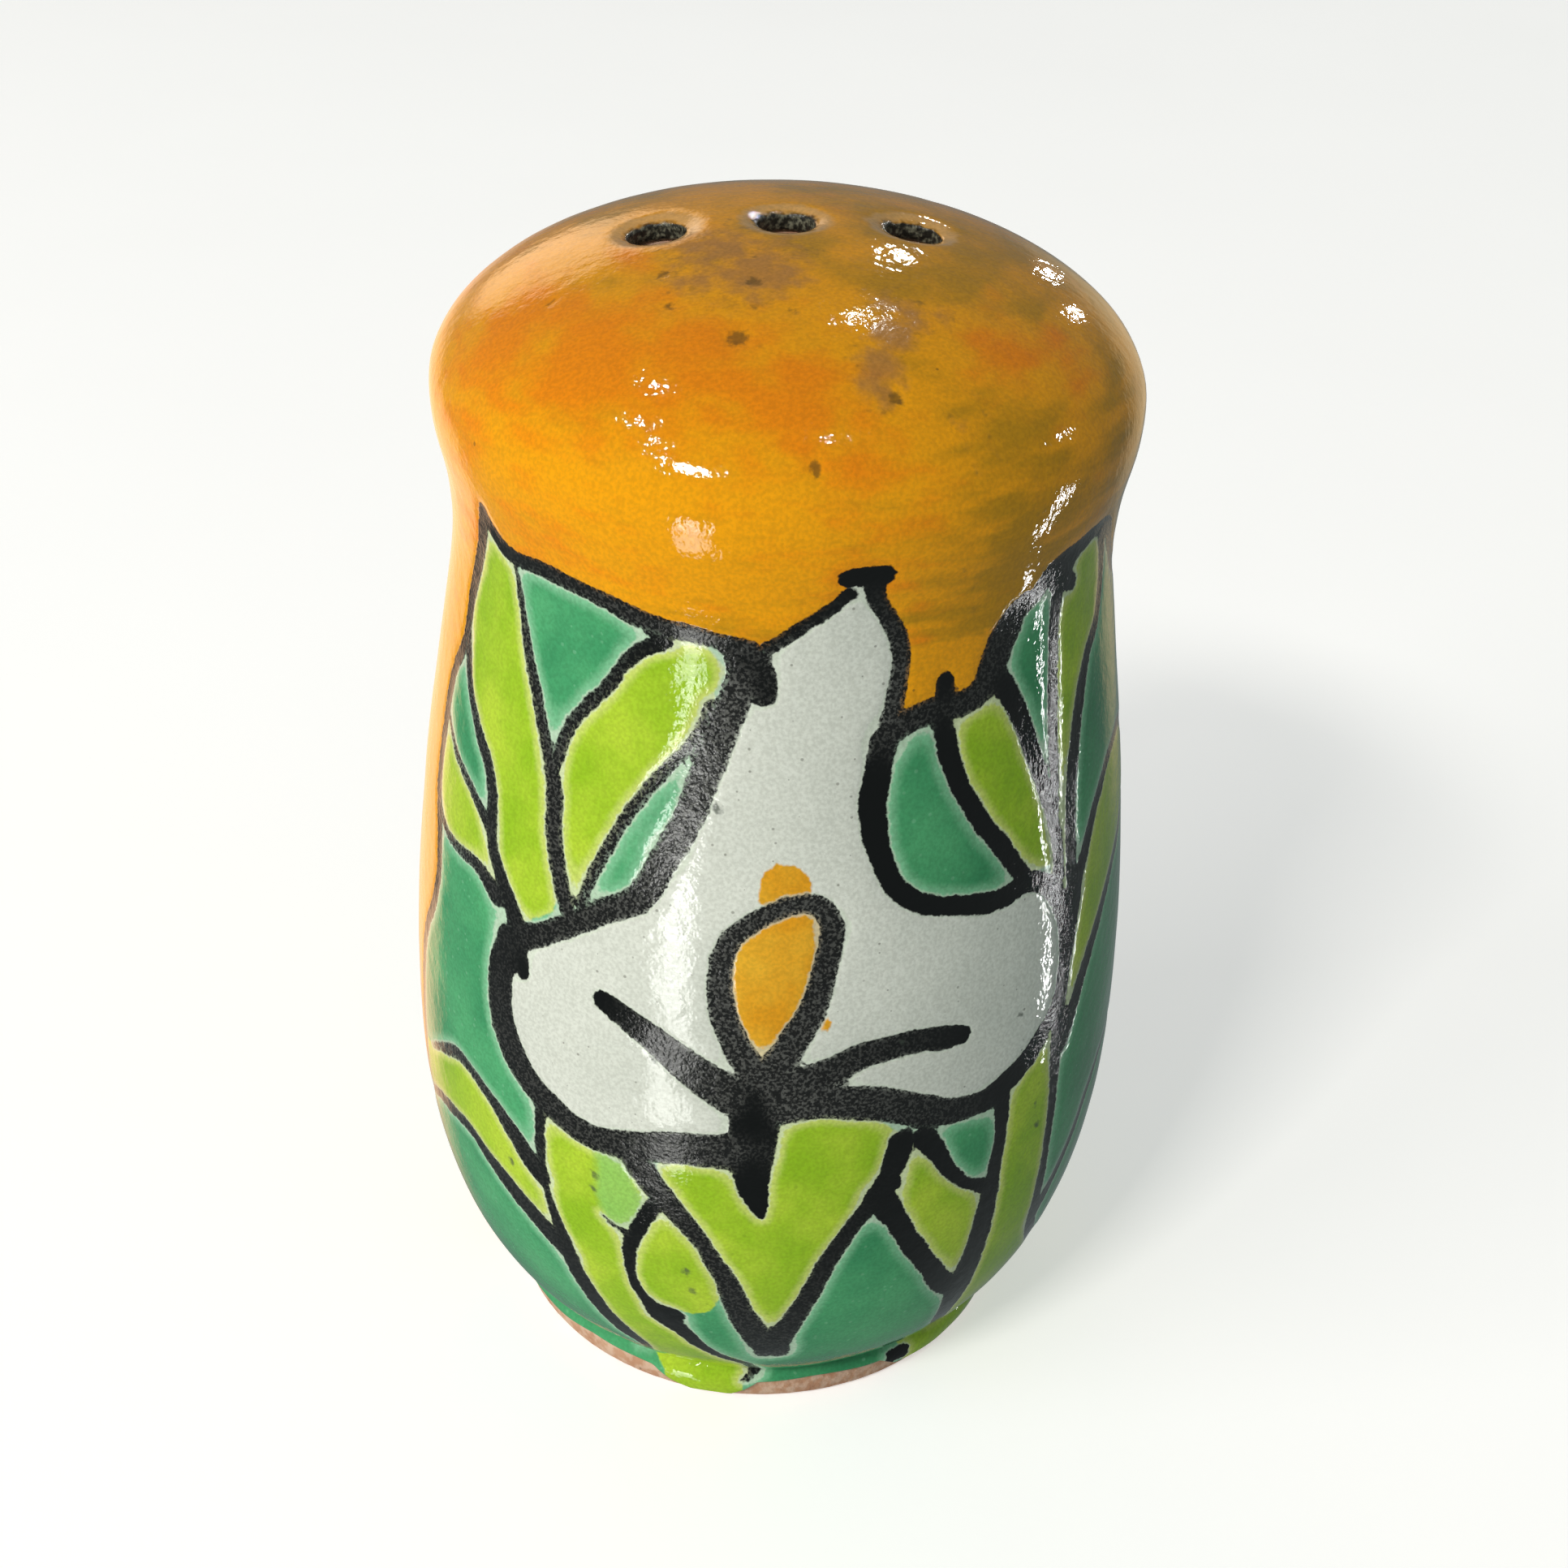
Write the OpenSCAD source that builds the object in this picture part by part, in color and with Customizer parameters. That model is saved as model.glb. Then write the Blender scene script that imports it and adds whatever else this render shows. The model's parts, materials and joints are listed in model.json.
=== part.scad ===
// Talavera salt shaker: a hollow earthenware body, its fused glaze coat and a cork stopper.
// +Z is up. The origin is the centre of the foot, on the surface that the shaker stands on.
// Every ring of the outline is a size in the finished, glazed state.

/* [Outline] */
// Height from the foot to the crown of the dome
total_h = 82; // [70:0.5:100]
// Diameter of the dome at its widest ring
head_d = 44.6; // [36:0.2:54]
// Height of the dome above its widest ring
dome_h = 10; // [6:0.5:14]
// Diameter of the waist under the dome
waist_d = 42.6; // [34:0.2:52]
// Drop from the widest ring of the dome to the waist
neck_drop = 9; // [5:0.5:14]
// Diameter of the belly at its widest ring
belly_d = 50.4; // [40:0.2:62]
// Height of the belly's widest ring above the rest plane
belly_z = 25; // [20:0.5:34]
// Diameter of the foot
foot_d = 37.6; // [34:0.2:46]
// Height of the groove above the foot
foot_h = 3; // [2:0.1:4]
// Depth of the groove, measured in from the foot
groove_depth = 0.7; // [0.2:0.1:1.2]

/* [Clay] */
// Thickness of the clay wall
wall = 3.5; // [2.5:0.1:5]
// Width of the ring that the shaker stands on
foot_ring_w = 3.6; // [2.5:0.1:4.5]
// Depth of the recess under the base
recess_h = 5; // [4:0.1:8]
// Thickness of the base around the filler hole
base_t = 4; // [3:0.1:6]
// Width of the bevel at the foot's lower edge
foot_bevel = 0.6; // [0.2:0.1:0.6]

/* [Glaze] */
// Thickness of the fused glaze
glaze_t = 0.3; // [0.2:0.05:0.5]
// Height of the bare clay edge left under the glaze
bare_h = 1; // [0.7:0.1:1.6]

/* [Pour holes] */
// Number of pour holes in the row
pour_count = 3; // [1:1:3]
// Diameter of a pour hole
pour_d = 3.6; // [2.5:0.1:4.5]
// Distance between two pour holes
pour_pitch = 7.8; // [7:0.1:9.5]
// Turn of the row about the vertical
pour_turn = 6; // [0:1:180]
// How far the middle of the row sits to the right of the axis
pour_shift_x = -0.6; // [-1:0.1:1]
// How far the middle of the row sits behind the axis
pour_shift_y = 0.3; // [-1:0.1:1]
// Diameter of the dished rim around a pour hole, where it meets the dome
dish_d = 5.6; // [5:0.1:6.5]
// Depth of the dished rim
dish_depth = 0.6; // [0.3:0.1:1]

/* [Stopper] */
// Diameter of the filler hole in the base
filler_d = 16; // [12:0.5:18]
// Radial clearance between the cork and its hole
cork_clear = 0.05; // [0.02:0.01:0.1]
// How far the cork stands out of the base, inside the recess
cork_out = 2; // [1:0.5:3]
// How far the cork reaches into the cavity
cork_in = 4; // [2:0.5:6]
// How much the free ends of the cork swell or taper, on the radius
cork_taper = 0.4; // [0.2:0.1:0.8]
// Width of the bevel around the cork's ends
cork_bevel = 0.5; // [0.2:0.1:0.8]

/* [Hidden] */
$fn = 96;

// How far a cutting tool runs past the surface it cuts
over = 1;

// The rings of the clay, under the glaze
clay_h = total_h - glaze_t;
head_r = head_d / 2 - glaze_t;
head_z = total_h - dome_h;
waist_r = waist_d / 2 - glaze_t;
waist_z = head_z - neck_drop;
belly_r = belly_d / 2 - glaze_t;
foot_r = foot_d / 2 - glaze_t;
groove_r = foot_r - groove_depth;
foot_top = (foot_h + bare_h) / 2;

// How far the outline keeps its direction at each ring, as a share of the way to the next ring
crown_hold = 0.6;
shoulder_hold = 0.5;
head_hold = 0.4;
under_head_hold = 0.6;
over_belly_hold = 0.47;
under_waist_hold = 0.12;
under_belly_hold = 0.61;

// The outline meets the groove on this slope, outwards and upwards
groove_lead = [3.0, 2.2];

floor_z = recess_h + base_t;
recess_r = foot_r - foot_ring_w;
inner_round = 2.5;
cork_r = filler_d / 2 - cork_clear;

clay_color = [0.78, 0.55, 0.43];
glaze_color = [0.38, 0.66, 0.35];
cork_color = [0.72, 0.55, 0.37];

// Points of a cubic curve from a to d, without d itself
function curve(a, b, c, d, steps) =
    [for (i = [0 : steps - 1]) let (t = i / steps, u = 1 - t)
        u * u * u * a + 3 * u * u * t * b + 3 * u * t * t * c + t * t * t * d];

// The dome, from its crown out to its widest ring
crown_outline = curve([0, clay_h], [head_r * crown_hold, clay_h],
    [head_r, head_z + (clay_h - head_z) * shoulder_hold], [head_r, head_z], 16);

// The glazed part of the outline, from the crown of the dome down to the glaze line
upper_outline = concat(
    crown_outline,
    curve([head_r, head_z], [head_r, head_z - neck_drop * head_hold],
          [waist_r, waist_z + neck_drop * under_head_hold], [waist_r, waist_z], 8),
    curve([waist_r, waist_z], [waist_r, waist_z - (waist_z - belly_z) * under_waist_hold],
          [belly_r, belly_z + (waist_z - belly_z) * over_belly_hold], [belly_r, belly_z], 12),
    curve([belly_r, belly_z], [belly_r, belly_z - (belly_z - foot_h) * under_belly_hold],
          [groove_r, foot_h] + groove_lead, [groove_r, foot_h], 14),
    curve([groove_r, foot_h], [groove_r, (foot_h + foot_top) / 2],
          [foot_r, (foot_h + foot_top) / 2], [foot_r, foot_top], 4),
    [[foot_r, foot_top], [foot_r, bare_h]]
);

// The rest of the foot, bare down to the ring that it stands on
foot_outline = [[foot_r, foot_bevel], [foot_r - foot_bevel, 0], [0, 0]];

// Outward normal at point i of an outline that runs down the outside; it points up at the crown
function normal(pts, i) =
    let (a = pts[max(i - 1, 0)], b = pts[min(i + 1, len(pts) - 1)], d = b - a)
    i == 0 ? [0, 1] : i == len(pts) - 1 ? [1, 0] : [-d[1], d[0]] / norm(d);

function grown(pts, by) = [for (i = [0 : len(pts) - 1]) pts[i] + by * normal(pts, i)];

// Inside of the wall: the outline moved in, down to where the rounded corner of the floor starts
inner_wall = [for (p = grown(upper_outline, -wall)) if (p[1] > floor_z + inner_round && p[0] >= 0) p];
corner = inner_wall[len(inner_wall) - 1];
inner_outline = concat(
    inner_wall,
    curve(corner, [corner[0] - inner_round * 0.2, floor_z + inner_round * 0.4],
          [corner[0] - inner_round, floor_z], [corner[0] - 2 * inner_round, floor_z], 6),
    [[corner[0] - 2 * inner_round, floor_z], [0, floor_z]]
);

// Straight drill for one pour hole, with the cone of its dished rim running on past the dome
module pour_drill(dish_z) {
    translate([0, 0, waist_z]) cylinder(d = pour_d, h = total_h - waist_z);
    translate([0, 0, dish_z]) cylinder(d1 = pour_d, d2 = 2 * dish_d - pour_d, h = 2 * dish_depth);
}

// The row of drills, all parallel to the axis, each dished to the height of the dome around it
module pour_drills() {
    for (i = [0 : pour_count - 1]) {
        along = (i - (pour_count - 1) / 2) * pour_pitch;
        x = pour_shift_x + along * cos(pour_turn);
        y = pour_shift_y + along * sin(pour_turn);
        dome_z = lookup(norm([x, y]), crown_outline) + glaze_t;
        translate([x, y, 0]) pour_drill(dome_z - dish_depth);
    }
}

// One-piece earthenware casting with its cavity, recessed base, filler hole and pour holes
module clay_body() {
    color(clay_color)
    difference() {
        rotate_extrude() polygon(concat(upper_outline, foot_outline));
        rotate_extrude() polygon(inner_outline);
        translate([0, 0, -over]) cylinder(r = recess_r, h = recess_h + over);
        translate([0, 0, recess_h - over]) cylinder(d = filler_d, h = base_t + 2 * over);
        pour_drills();
    }
}

// Glaze melted onto the outside of the clay, open at the pour holes
module glaze_coat() {
    outer = grown(upper_outline, glaze_t);
    color(glaze_color)
    difference() {
        rotate_extrude()
            polygon(concat(outer, [for (i = [len(upper_outline) - 1 : -1 : 0]) upper_outline[i]]));
        pour_drills();
    }
}

// Natural cork: pinched where the hole holds it, swollen below and tapered above
module stopper() {
    low = recess_h - cork_out;
    high = floor_z + cork_in;
    swell_r = cork_r + cork_taper;
    tip_r = cork_r - cork_taper;
    color(cork_color)
    rotate_extrude()
        polygon([
            [0, low], [swell_r - cork_bevel, low], [swell_r, low + cork_bevel],
            [cork_r, recess_h], [cork_r, floor_z],
            [tip_r, high - cork_bevel], [tip_r - cork_bevel, high], [0, high]
        ]);
}

clay_body();
glaze_coat();
stopper();
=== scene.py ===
# %% [markdown]
# # A hand-painted Talavera salt shaker
#
# The real object is a small hollow pot of red earthenware. A tin-white glaze covers the outside,
# black lines are drawn on it with a brush, and coloured glazes are flooded in between the lines.
# The dome has three pour holes, and a cork closes the filler hole in the base.
#
# This lesson builds those three things, clay, painted glaze and cork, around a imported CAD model.
# The frame is loaded first, because every place and size below is read from it.

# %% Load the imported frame
import json
import math

import bpy
import numpy as np
from mathutils import Matrix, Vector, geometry


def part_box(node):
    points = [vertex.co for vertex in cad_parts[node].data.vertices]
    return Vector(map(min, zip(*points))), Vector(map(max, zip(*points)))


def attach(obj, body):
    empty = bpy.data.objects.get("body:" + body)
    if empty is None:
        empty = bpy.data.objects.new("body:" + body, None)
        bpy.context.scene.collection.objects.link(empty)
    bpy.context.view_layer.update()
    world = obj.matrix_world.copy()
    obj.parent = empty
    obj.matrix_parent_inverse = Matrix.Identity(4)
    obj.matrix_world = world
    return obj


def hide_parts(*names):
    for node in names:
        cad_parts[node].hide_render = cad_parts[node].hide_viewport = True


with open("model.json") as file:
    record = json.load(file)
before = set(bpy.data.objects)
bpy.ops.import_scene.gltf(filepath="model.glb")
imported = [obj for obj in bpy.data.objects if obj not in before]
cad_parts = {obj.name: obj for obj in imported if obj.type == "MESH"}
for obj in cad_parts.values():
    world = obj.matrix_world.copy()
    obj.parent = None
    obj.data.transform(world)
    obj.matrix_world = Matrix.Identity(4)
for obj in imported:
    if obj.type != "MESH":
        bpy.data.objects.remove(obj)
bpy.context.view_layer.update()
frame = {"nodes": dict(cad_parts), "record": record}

MM = 0.001

# Two sizes that differ by less than this many mm are the same
SAME = 0.01

# %% [markdown]
# ## The camera
#
# A picture of a pot from close by shows the top of its dome and the curve of its foot in one view.
# The camera is therefore set by where it stands, how far it tips down and how long its lens is.
# It stands in front of the shaker, in the -Y direction, and leans a little to one side, as a
# hand-held camera does. Two small shifts of the lens leave the shaker a little left of the middle
# and a little low, where the picture wants it.

# %% Camera in front of the shaker
CAMERA_AWAY = 133.2 * MM
CAMERA_UP = 127.9 * MM
CAMERA_TIP = 33.11
CAMERA_LEAN = 2.35
CAMERA_LENS = 52.2
CAMERA_SHIFT = (0.007, 0.0034)

camera = bpy.data.objects.new("camera", bpy.data.cameras.new("camera"))
bpy.context.scene.collection.objects.link(camera)
camera.data.lens = CAMERA_LENS
camera.data.shift_x, camera.data.shift_y = CAMERA_SHIFT
camera.data.clip_start = 5 * MM
camera_place = Matrix.Translation((0, -CAMERA_AWAY, CAMERA_UP))
camera_tip = Matrix.Rotation(math.radians(90 - CAMERA_TIP), 4, "X")
camera_lean = Matrix.Rotation(math.radians(CAMERA_LEAN), 4, "Z")
camera.matrix_world = camera_place @ camera_tip @ camera_lean
bpy.context.scene.camera = camera
print("the camera stands", round(CAMERA_AWAY / MM), "mm in front and", round(CAMERA_UP / MM), "mm up")

# %% [markdown]
# ## The outline, read from the frame
#
# The CAD clay and glaze are turned shapes, so their corners lie on circles. A circle that both
# nodes share lies on the surface between clay and glaze. Sorted from the crown down, those
# circles give the outline, and the rest of the clay's circles give its cavity, recess and foot.
# Reading them from the frame keeps the looks on the CAD shape if that shape ever changes.

# %% Circles of the turned CAD nodes
RING_CORNERS = 20


def rings(node):
    """The circles of a turned CAD node in mm, as {rounded (radius, height): exact ones}."""
    corners = np.array([v.co for v in frame["nodes"][node].data.vertices]) / MM
    pairs = np.stack([np.hypot(corners[:, 0], corners[:, 1]), corners[:, 2]], axis=1)
    keys, which, counts = np.unique(np.round(pairs, 2), axis=0, return_inverse=True, return_counts=True)
    sums = np.stack([np.bincount(which.ravel(), pairs[:, i]) for i in (0, 1)], axis=1)
    exact = sums / counts[:, None]
    return {tuple(k): tuple(e) for k, e, n in zip(keys, exact, counts) if n >= RING_CORNERS}


def corners_only(points, straight=0.004):
    """Leaves out the points that lie on a straight line between their neighbours."""
    kept = [np.array(points[0])]
    for here, after in zip(points[1:], points[2:]):
        run = np.array(after) - kept[-1]
        step = np.array(here) - kept[-1]
        if abs(run[0] * step[1] - run[1] * step[0]) / np.linalg.norm(run) > straight:
            kept.append(np.array(here))
    kept.append(np.array(points[-1]))
    return kept


clay_rings = rings("clay_body")
glaze_rings = rings("glaze_coat")
shared_rings = [p for k, p in clay_rings.items() if k in glaze_rings]
under_glaze = corners_only(sorted(shared_rings, key=lambda p: -p[1]))
clay_only = [p for k, p in clay_rings.items() if k not in glaze_rings]
print("the outline has", len(under_glaze), "corners, and the rest of the clay has", len(clay_only))

# %% Sizes that the frame gives, in mm; the foot, recess and filler hole lie in the lowest sixth
FOOT_SHARE = 1 / 6

total_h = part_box("glaze_coat")[1].z / MM
glaze_t = (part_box("glaze_coat")[1].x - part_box("clay_body")[1].x) / MM
bare_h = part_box("glaze_coat")[0].z / MM
foot_rings = [p for p in clay_only if p[1] < total_h * FOOT_SHARE]
filler_r = min(r for r, z in foot_rings)
base_low, base_top = sorted({round(z, 2) for r, z in foot_rings if abs(r - filler_r) < SAME})
foot_r = max(r for r, z in foot_rings if z < base_low / 2)
cork_rings = sorted(rings("stopper").values(), key=lambda p: p[1])

bores = [m for m in frame["record"]["mounts"] if m["kind"] == "bore"]
pour_holes = [(m["pos_m"][0] / MM, m["pos_m"][1] / MM) for m in bores]
pour_r = bores[0]["dims"]["r_mm"]
print("glaze", round(glaze_t, 2), "mm thick, down to", round(bare_h, 2), "mm")
print("filler hole with radius", round(filler_r, 2))
print("pour holes at", [(round(x, 2), round(y, 2)) for x, y in pour_holes], "with radius", pour_r)

# %% [markdown]
# ## From corners to a smooth outline
#
# A turned CAD solid is a stack of cones, and a gloss shows every kink between two of them.
# A clay pot has no kinks, so a smooth line is drawn through the corners. The same helper will
# draw the brush lines later: it takes a few listed points and returns many close ones.

# %% Smooth lines and gentle steps
def smooth_line(points, step):
    """A smooth line through a few rows of numbers, with a row about every step mm.

    The first two columns are a place; further ones, such as a width, go along with it.
    """
    rows = np.array(points, float)
    gaps = np.maximum(np.linalg.norm(np.diff(rows[:, :2], axis=0), axis=1), 1e-6)
    at = np.concatenate([[0.0], np.cumsum(gaps)])
    slope = np.gradient(rows, at, axis=0)
    where = np.linspace(0.0, at[-1], max(3, round(at[-1] / step) + 1))
    k = np.clip(np.searchsorted(at, where, side="right") - 1, 0, len(gaps) - 1)
    gap = gaps[k][:, None]
    t = ((where - at[k]) / gaps[k])[:, None]
    start = rows[k] * (1 + 2 * t) * (1 - t) ** 2 + slope[k] * gap * t * (1 - t) ** 2
    end = rows[k + 1] * t * t * (3 - 2 * t) + slope[k + 1] * gap * t * t * (t - 1)
    return start + end


def gentle(value, low, high):
    """0 up to low, 1 from high on, and a soft step in between."""
    t = np.clip((value - low) / (high - low), 0.0, 1.0)
    return t * t * (3 - 2 * t)


# %% The skin: the surface between clay and glaze, by distance down from the crown
SKIN_STEP = 0.1
EDGE_LOW = 0.4

# The line starts this many corners beyond the axis, so that it crosses the crown level
MIRRORED = 4
CROWN_ROWS = 200
# The dome is the part of the skin up to this share of the widest radius
DOME_SHARE = 0.8

mirrored = [(-r, z) for r, z in under_glaze[MIRRORED - 1::-1]]
profile = smooth_line(mirrored + under_glaze + [(foot_r, EDGE_LOW)], SKIN_STEP)
crown_z = np.interp(0.0, profile[:CROWN_ROWS, 0], profile[:CROWN_ROWS, 1])
profile = np.vstack([[0.0, crown_z], profile[profile[:, 0] > SKIN_STEP / 2]])
downwards = np.gradient(profile, axis=0)
outwards = np.stack([-downwards[:, 1], downwards[:, 0]], axis=1)
outwards /= np.linalg.norm(outwards, axis=1)[:, None]
skin_arc = np.concatenate([[0.0], np.cumsum(np.linalg.norm(np.diff(profile, axis=0), axis=1))])
dome_end = int(np.argmax(profile[:, 0] > DOME_SHARE * profile[:, 0].max()))


def skin(arc, out=0.0):
    """Radius and height at a distance down the outline, moved out of the clay by some mm."""
    radius = np.interp(arc, skin_arc, profile[:, 0]) + out * np.interp(arc, skin_arc, outwards[:, 0])
    height = np.interp(arc, skin_arc, profile[:, 1]) + out * np.interp(arc, skin_arc, outwards[:, 1])
    return radius, height


def arc_at_height(height):
    return np.interp(-np.asarray(height), -profile[:, 1], skin_arc)


def dome_height(radius, out=0.0):
    """Height of the dome above a point near the axis, moved out of the clay by some mm."""
    moved = profile[:dome_end] + out * outwards[:dome_end]
    return np.interp(radius, moved[:, 0], moved[:, 1])


def around(radius, turn, height):
    """Points at some turn, in radians, round the axis; turn 0 faces the camera."""
    radius, turn, height = np.broadcast_arrays(radius, turn, height)
    return np.stack([radius * np.sin(turn), -radius * np.cos(turn), height], axis=-1)


def full_turn(count):
    """Even turns round the axis, in radians."""
    return np.arange(count) * 2 * np.pi / count


belly_r = profile[:, 0].max() + glaze_t
print("outline", round(skin_arc[-1], 1), "mm long, widest radius", round(belly_r, 2))

# %% [markdown]
# ## What the hand leaves
#
# A slip-cast pot is never quite round. It is squeezed a little when it leaves its mould, and this
# one's head sits a hair to one side. The faults are a smooth function of place, so that clay and
# glaze get the same ones and stay together. They only move the surface inwards, which keeps the
# pot inside the CAD box, and they fade out at the crown, where the pour holes keep their places.

# %% Waves for the faults of the hand
SQUEEZE = 0.06
RIPPLE = 0.04
CROWN_R = 13.0
FADE_WIDTH = 6
HEAD_LEAN = -0.1
LEAN_FROM = 0.7 * total_h
LEAN_TO = 0.9 * total_h


def waves(seed, length, count=7):
    """A smooth random function of place, between -1 and 1, with waves about length mm long."""
    draw = np.random.default_rng(seed)
    ways = draw.normal(size=(count, 3))
    lengths = length * draw.uniform(0.7, 1.5, (count, 1))
    ways *= 2 * np.pi / (lengths * np.linalg.norm(ways, axis=1)[:, None])
    phase = draw.uniform(0, 2 * np.pi, count)
    return lambda place: np.clip(1.6 * np.sin(place @ ways.T + phase).mean(axis=-1), -1, 1)


slow_waves = waves(3, 42)
short_waves = waves(5, 9)


def pressed(wave, points):
    """A wave as a press between 0 and 1."""
    return 0.5 + 0.5 * wave(points)


def lean(height):
    """How far the head stands to one side at a height, in mm."""
    return HEAD_LEAN * gentle(height, LEAN_FROM, LEAN_TO)


def hand_shape(points):
    """Points of the turned shape, in mm, with the faults of the hand."""
    moved = points.copy()
    radius = np.hypot(points[:, 0], points[:, 1])
    press = SQUEEZE * pressed(slow_waves, points) + RIPPLE * pressed(short_waves, points)
    fade = gentle(radius, CROWN_R, CROWN_R + FADE_WIDTH)
    moved[:, :2] *= (1 - fade * press / np.maximum(radius, 1.0))[:, None]
    moved[:, 0] += lean(points[:, 2])
    return moved


# %% [markdown]
# ## The crown with its pour holes
#
# A grid that runs round the axis can't hold three holes, so the top of the dome is its own patch.
# Circles of points are laid round each hole and round the rim of the patch, a fine triangle
# pattern fills the rest, and Blender's Delaunay function joins them into even triangles.
# Each hole sits in a shallow dish, where the potter's drill was wiped round with a wet finger.

# %% Flat triangles for the crown
DISH_REACH = 1.5
DISH_DEPTH = 0.38
LIP_POINTS = 48
# Rows of the fill each way from the middle, and their distance as a share of the spacing
FILL_ROWS = 60
ROW_SPACE = 0.866

holes = [(x - HEAD_LEAN, y) for x, y in pour_holes]


def crown_patch(rim_r, rim_points, spacing, lip_gaps):
    """A disc with its pour holes left open: its points, its triangles and the lip of each hole.

    The first rim_points points are the rim, and lip_gaps are the circles round each hole.
    """
    points = [around(rim_r, full_turn(rim_points), 0.0)[:, :2]]
    lips = []
    lip_turn = full_turn(LIP_POINTS)
    count = rim_points
    for x, y in holes:
        for gap in lip_gaps:
            points.append(around(pour_r + gap, lip_turn, 0.0)[:, :2] + (x, y))
        lips.append(np.arange(count, count + LIP_POINTS))
        count += LIP_POINTS * len(lip_gaps)
    row, column = np.mgrid[-FILL_ROWS:FILL_ROWS + 1, -FILL_ROWS:FILL_ROWS + 1]
    fill_x = (column + 0.5 * (row % 2)) * spacing
    fill_y = row * spacing * ROW_SPACE
    fill = np.stack([fill_x, fill_y], axis=-1).reshape(-1, 2)
    clear = np.hypot(fill[:, 0], fill[:, 1]) < rim_r - 0.6 * spacing
    for x, y in holes:
        clear &= np.hypot(fill[:, 0] - x, fill[:, 1] - y) > pour_r + lip_gaps[-1] + 0.7 * spacing
    points = np.concatenate(points + [fill[clear]])
    result = geometry.delaunay_2d_cdt([tuple(p) for p in points], [], [], 0, 1e-5)
    first = [ids[0] for ids in result[3]]
    triangles = np.array([[first[i] for i in face] for face in result[2]])
    for x, y in holes:
        middle = points[triangles].mean(axis=1)
        triangles = triangles[np.hypot(middle[:, 0] - x, middle[:, 1] - y) > pour_r]
    return points, triangles, lips


def hole_gap(flat):
    """Distance from points on the crown to the edge of the nearest pour hole."""
    return np.min([np.hypot(flat[:, 0] - x, flat[:, 1] - y) for x, y in holes], axis=0) - pour_r


def dished(flat, out):
    """Height of the crown over flat points, with the dish round each hole."""
    rest = 1 - np.clip(hole_gap(flat) / DISH_REACH, 0.0, 1.0)
    return dome_height(np.hypot(flat[:, 0], flat[:, 1]), out) - DISH_DEPTH * rest ** 2


# %% Faces and meshes
def strip(first, second):
    """Quads between two rows of point numbers that run round the axis, the first row on top."""
    return np.stack([first, second, np.roll(second, -1), np.roll(first, -1)], axis=1)


def strips(rows):
    """Quads between all rows of point numbers, from the top row down."""
    return np.concatenate([strip(a, b) for a, b in zip(rows[:-1], rows[1:])])


def fan(middle, ring):
    """Triangles from one point number to a ring of them."""
    return np.stack([np.full(len(ring), middle), ring, np.roll(ring, -1)], axis=1)


def new_mesh(name, points, quads, triangles):
    """A mesh object in metres from points in mm, shaded smooth."""
    mesh = bpy.data.meshes.new(name)
    faces = [tuple(f) for f in quads.tolist()] + [tuple(f) for f in triangles.tolist()]
    mesh.from_pydata((points * MM).tolist(), [], faces)
    mesh.validate()
    mesh.shade_smooth()
    piece = bpy.data.objects.new(name, mesh)
    bpy.context.scene.collection.objects.link(piece)
    print(name, "has", len(points), "points and", len(quads) * 2 + len(triangles), "triangles")
    return piece


# %% [markdown]
# ## The glaze as a thin shell
#
# Fired glaze is a layer of glass about 0.3 mm thick. It is modelled as a closed shell with its
# own outer and inner side, so that its lower edge and the lips of the holes have real thickness.
# The outside is a fine grid, with under half a millimetre between its points. That is enough to
# carry the painting as numbers on the points and the sunk black lines as real relief.
#
# Glaze runs in the kiln. Its lower edge is uneven here: it stops above the foot in some places
# and hangs over it in others.

# %% Rows and columns of the glaze
COLUMNS = 384
GRID_STEP = 0.455
INNER_ROWS = 34
LIP_GAPS = (0.0, 0.12, 0.26, 0.44, 0.68, 1.0, 1.4)
FINE_SPACING = 0.5
# The painting's seam is this many degrees round to the left, and its edge wavers by this many mm
SEAM = 88
DRIP = 0.12

# Turn in degrees, and the height in mm where the glaze ends there
GLAZE_EDGE = [
    (-88, 1.0), (-66, 1.4), (-50, 1.7), (-38, 2.0), (-22, 2.0), (-18, 1.2), (-13, 0.7), (-4, 0.7),
    (-1, 1.3), (2, 2.1), (14, 2.2), (31, 2.0), (35, 1.1), (48, 0.8), (70, 0.9), (92, 1.5), (120, 1.9),
    (145, 2.1), (160, 1.0), (176, 0.8), (184, 1.7), (205, 2.0), (230, 1.6), (272, 1.0),
]



def front_degrees(turn):
    """A turn in degrees from the front; the count starts again at the seam, on the left side."""
    return (np.degrees(turn) + SEAM) % 360 - SEAM


turn = full_turn(COLUMNS)
edge_deg, edge_mm = np.array(GLAZE_EDGE, float).T
edge_height = np.interp(front_degrees(turn), edge_deg, edge_mm)
edge_height = edge_height + DRIP * waves(11, 5)(around(foot_r, turn, 0.0))
edge_arc = arc_at_height(np.maximum(edge_height, EDGE_LOW + 0.1))
crown_arc = float(np.interp(CROWN_R, profile[:dome_end, 0], skin_arc[:dome_end]))
outer_rows = round((skin_arc[-1] - crown_arc) / GRID_STEP)
outer_arc = crown_arc + np.linspace(0, 1, outer_rows)[:, None] * (edge_arc - crown_arc)
print("the glaze has", outer_rows, "rows of", COLUMNS, "points outside")

# %% Points of the shell: the outside, its lower edge, and the inside back up to the crown
EDGE_BEAD = [(0.9, 0.07), (0.62, 0.15), (0.3, 0.2), (0.06, 0.18)]
INSIDE = 0.01

# Inner rows stand closer together where the outline bends: a row for this much bend or length
ROW_BEND = 0.15
ROW_LENGTH = 8
# The uneven lower edge pulls on the last rows only; a higher power leaves more rows level
EDGE_PULL = 12


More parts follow.
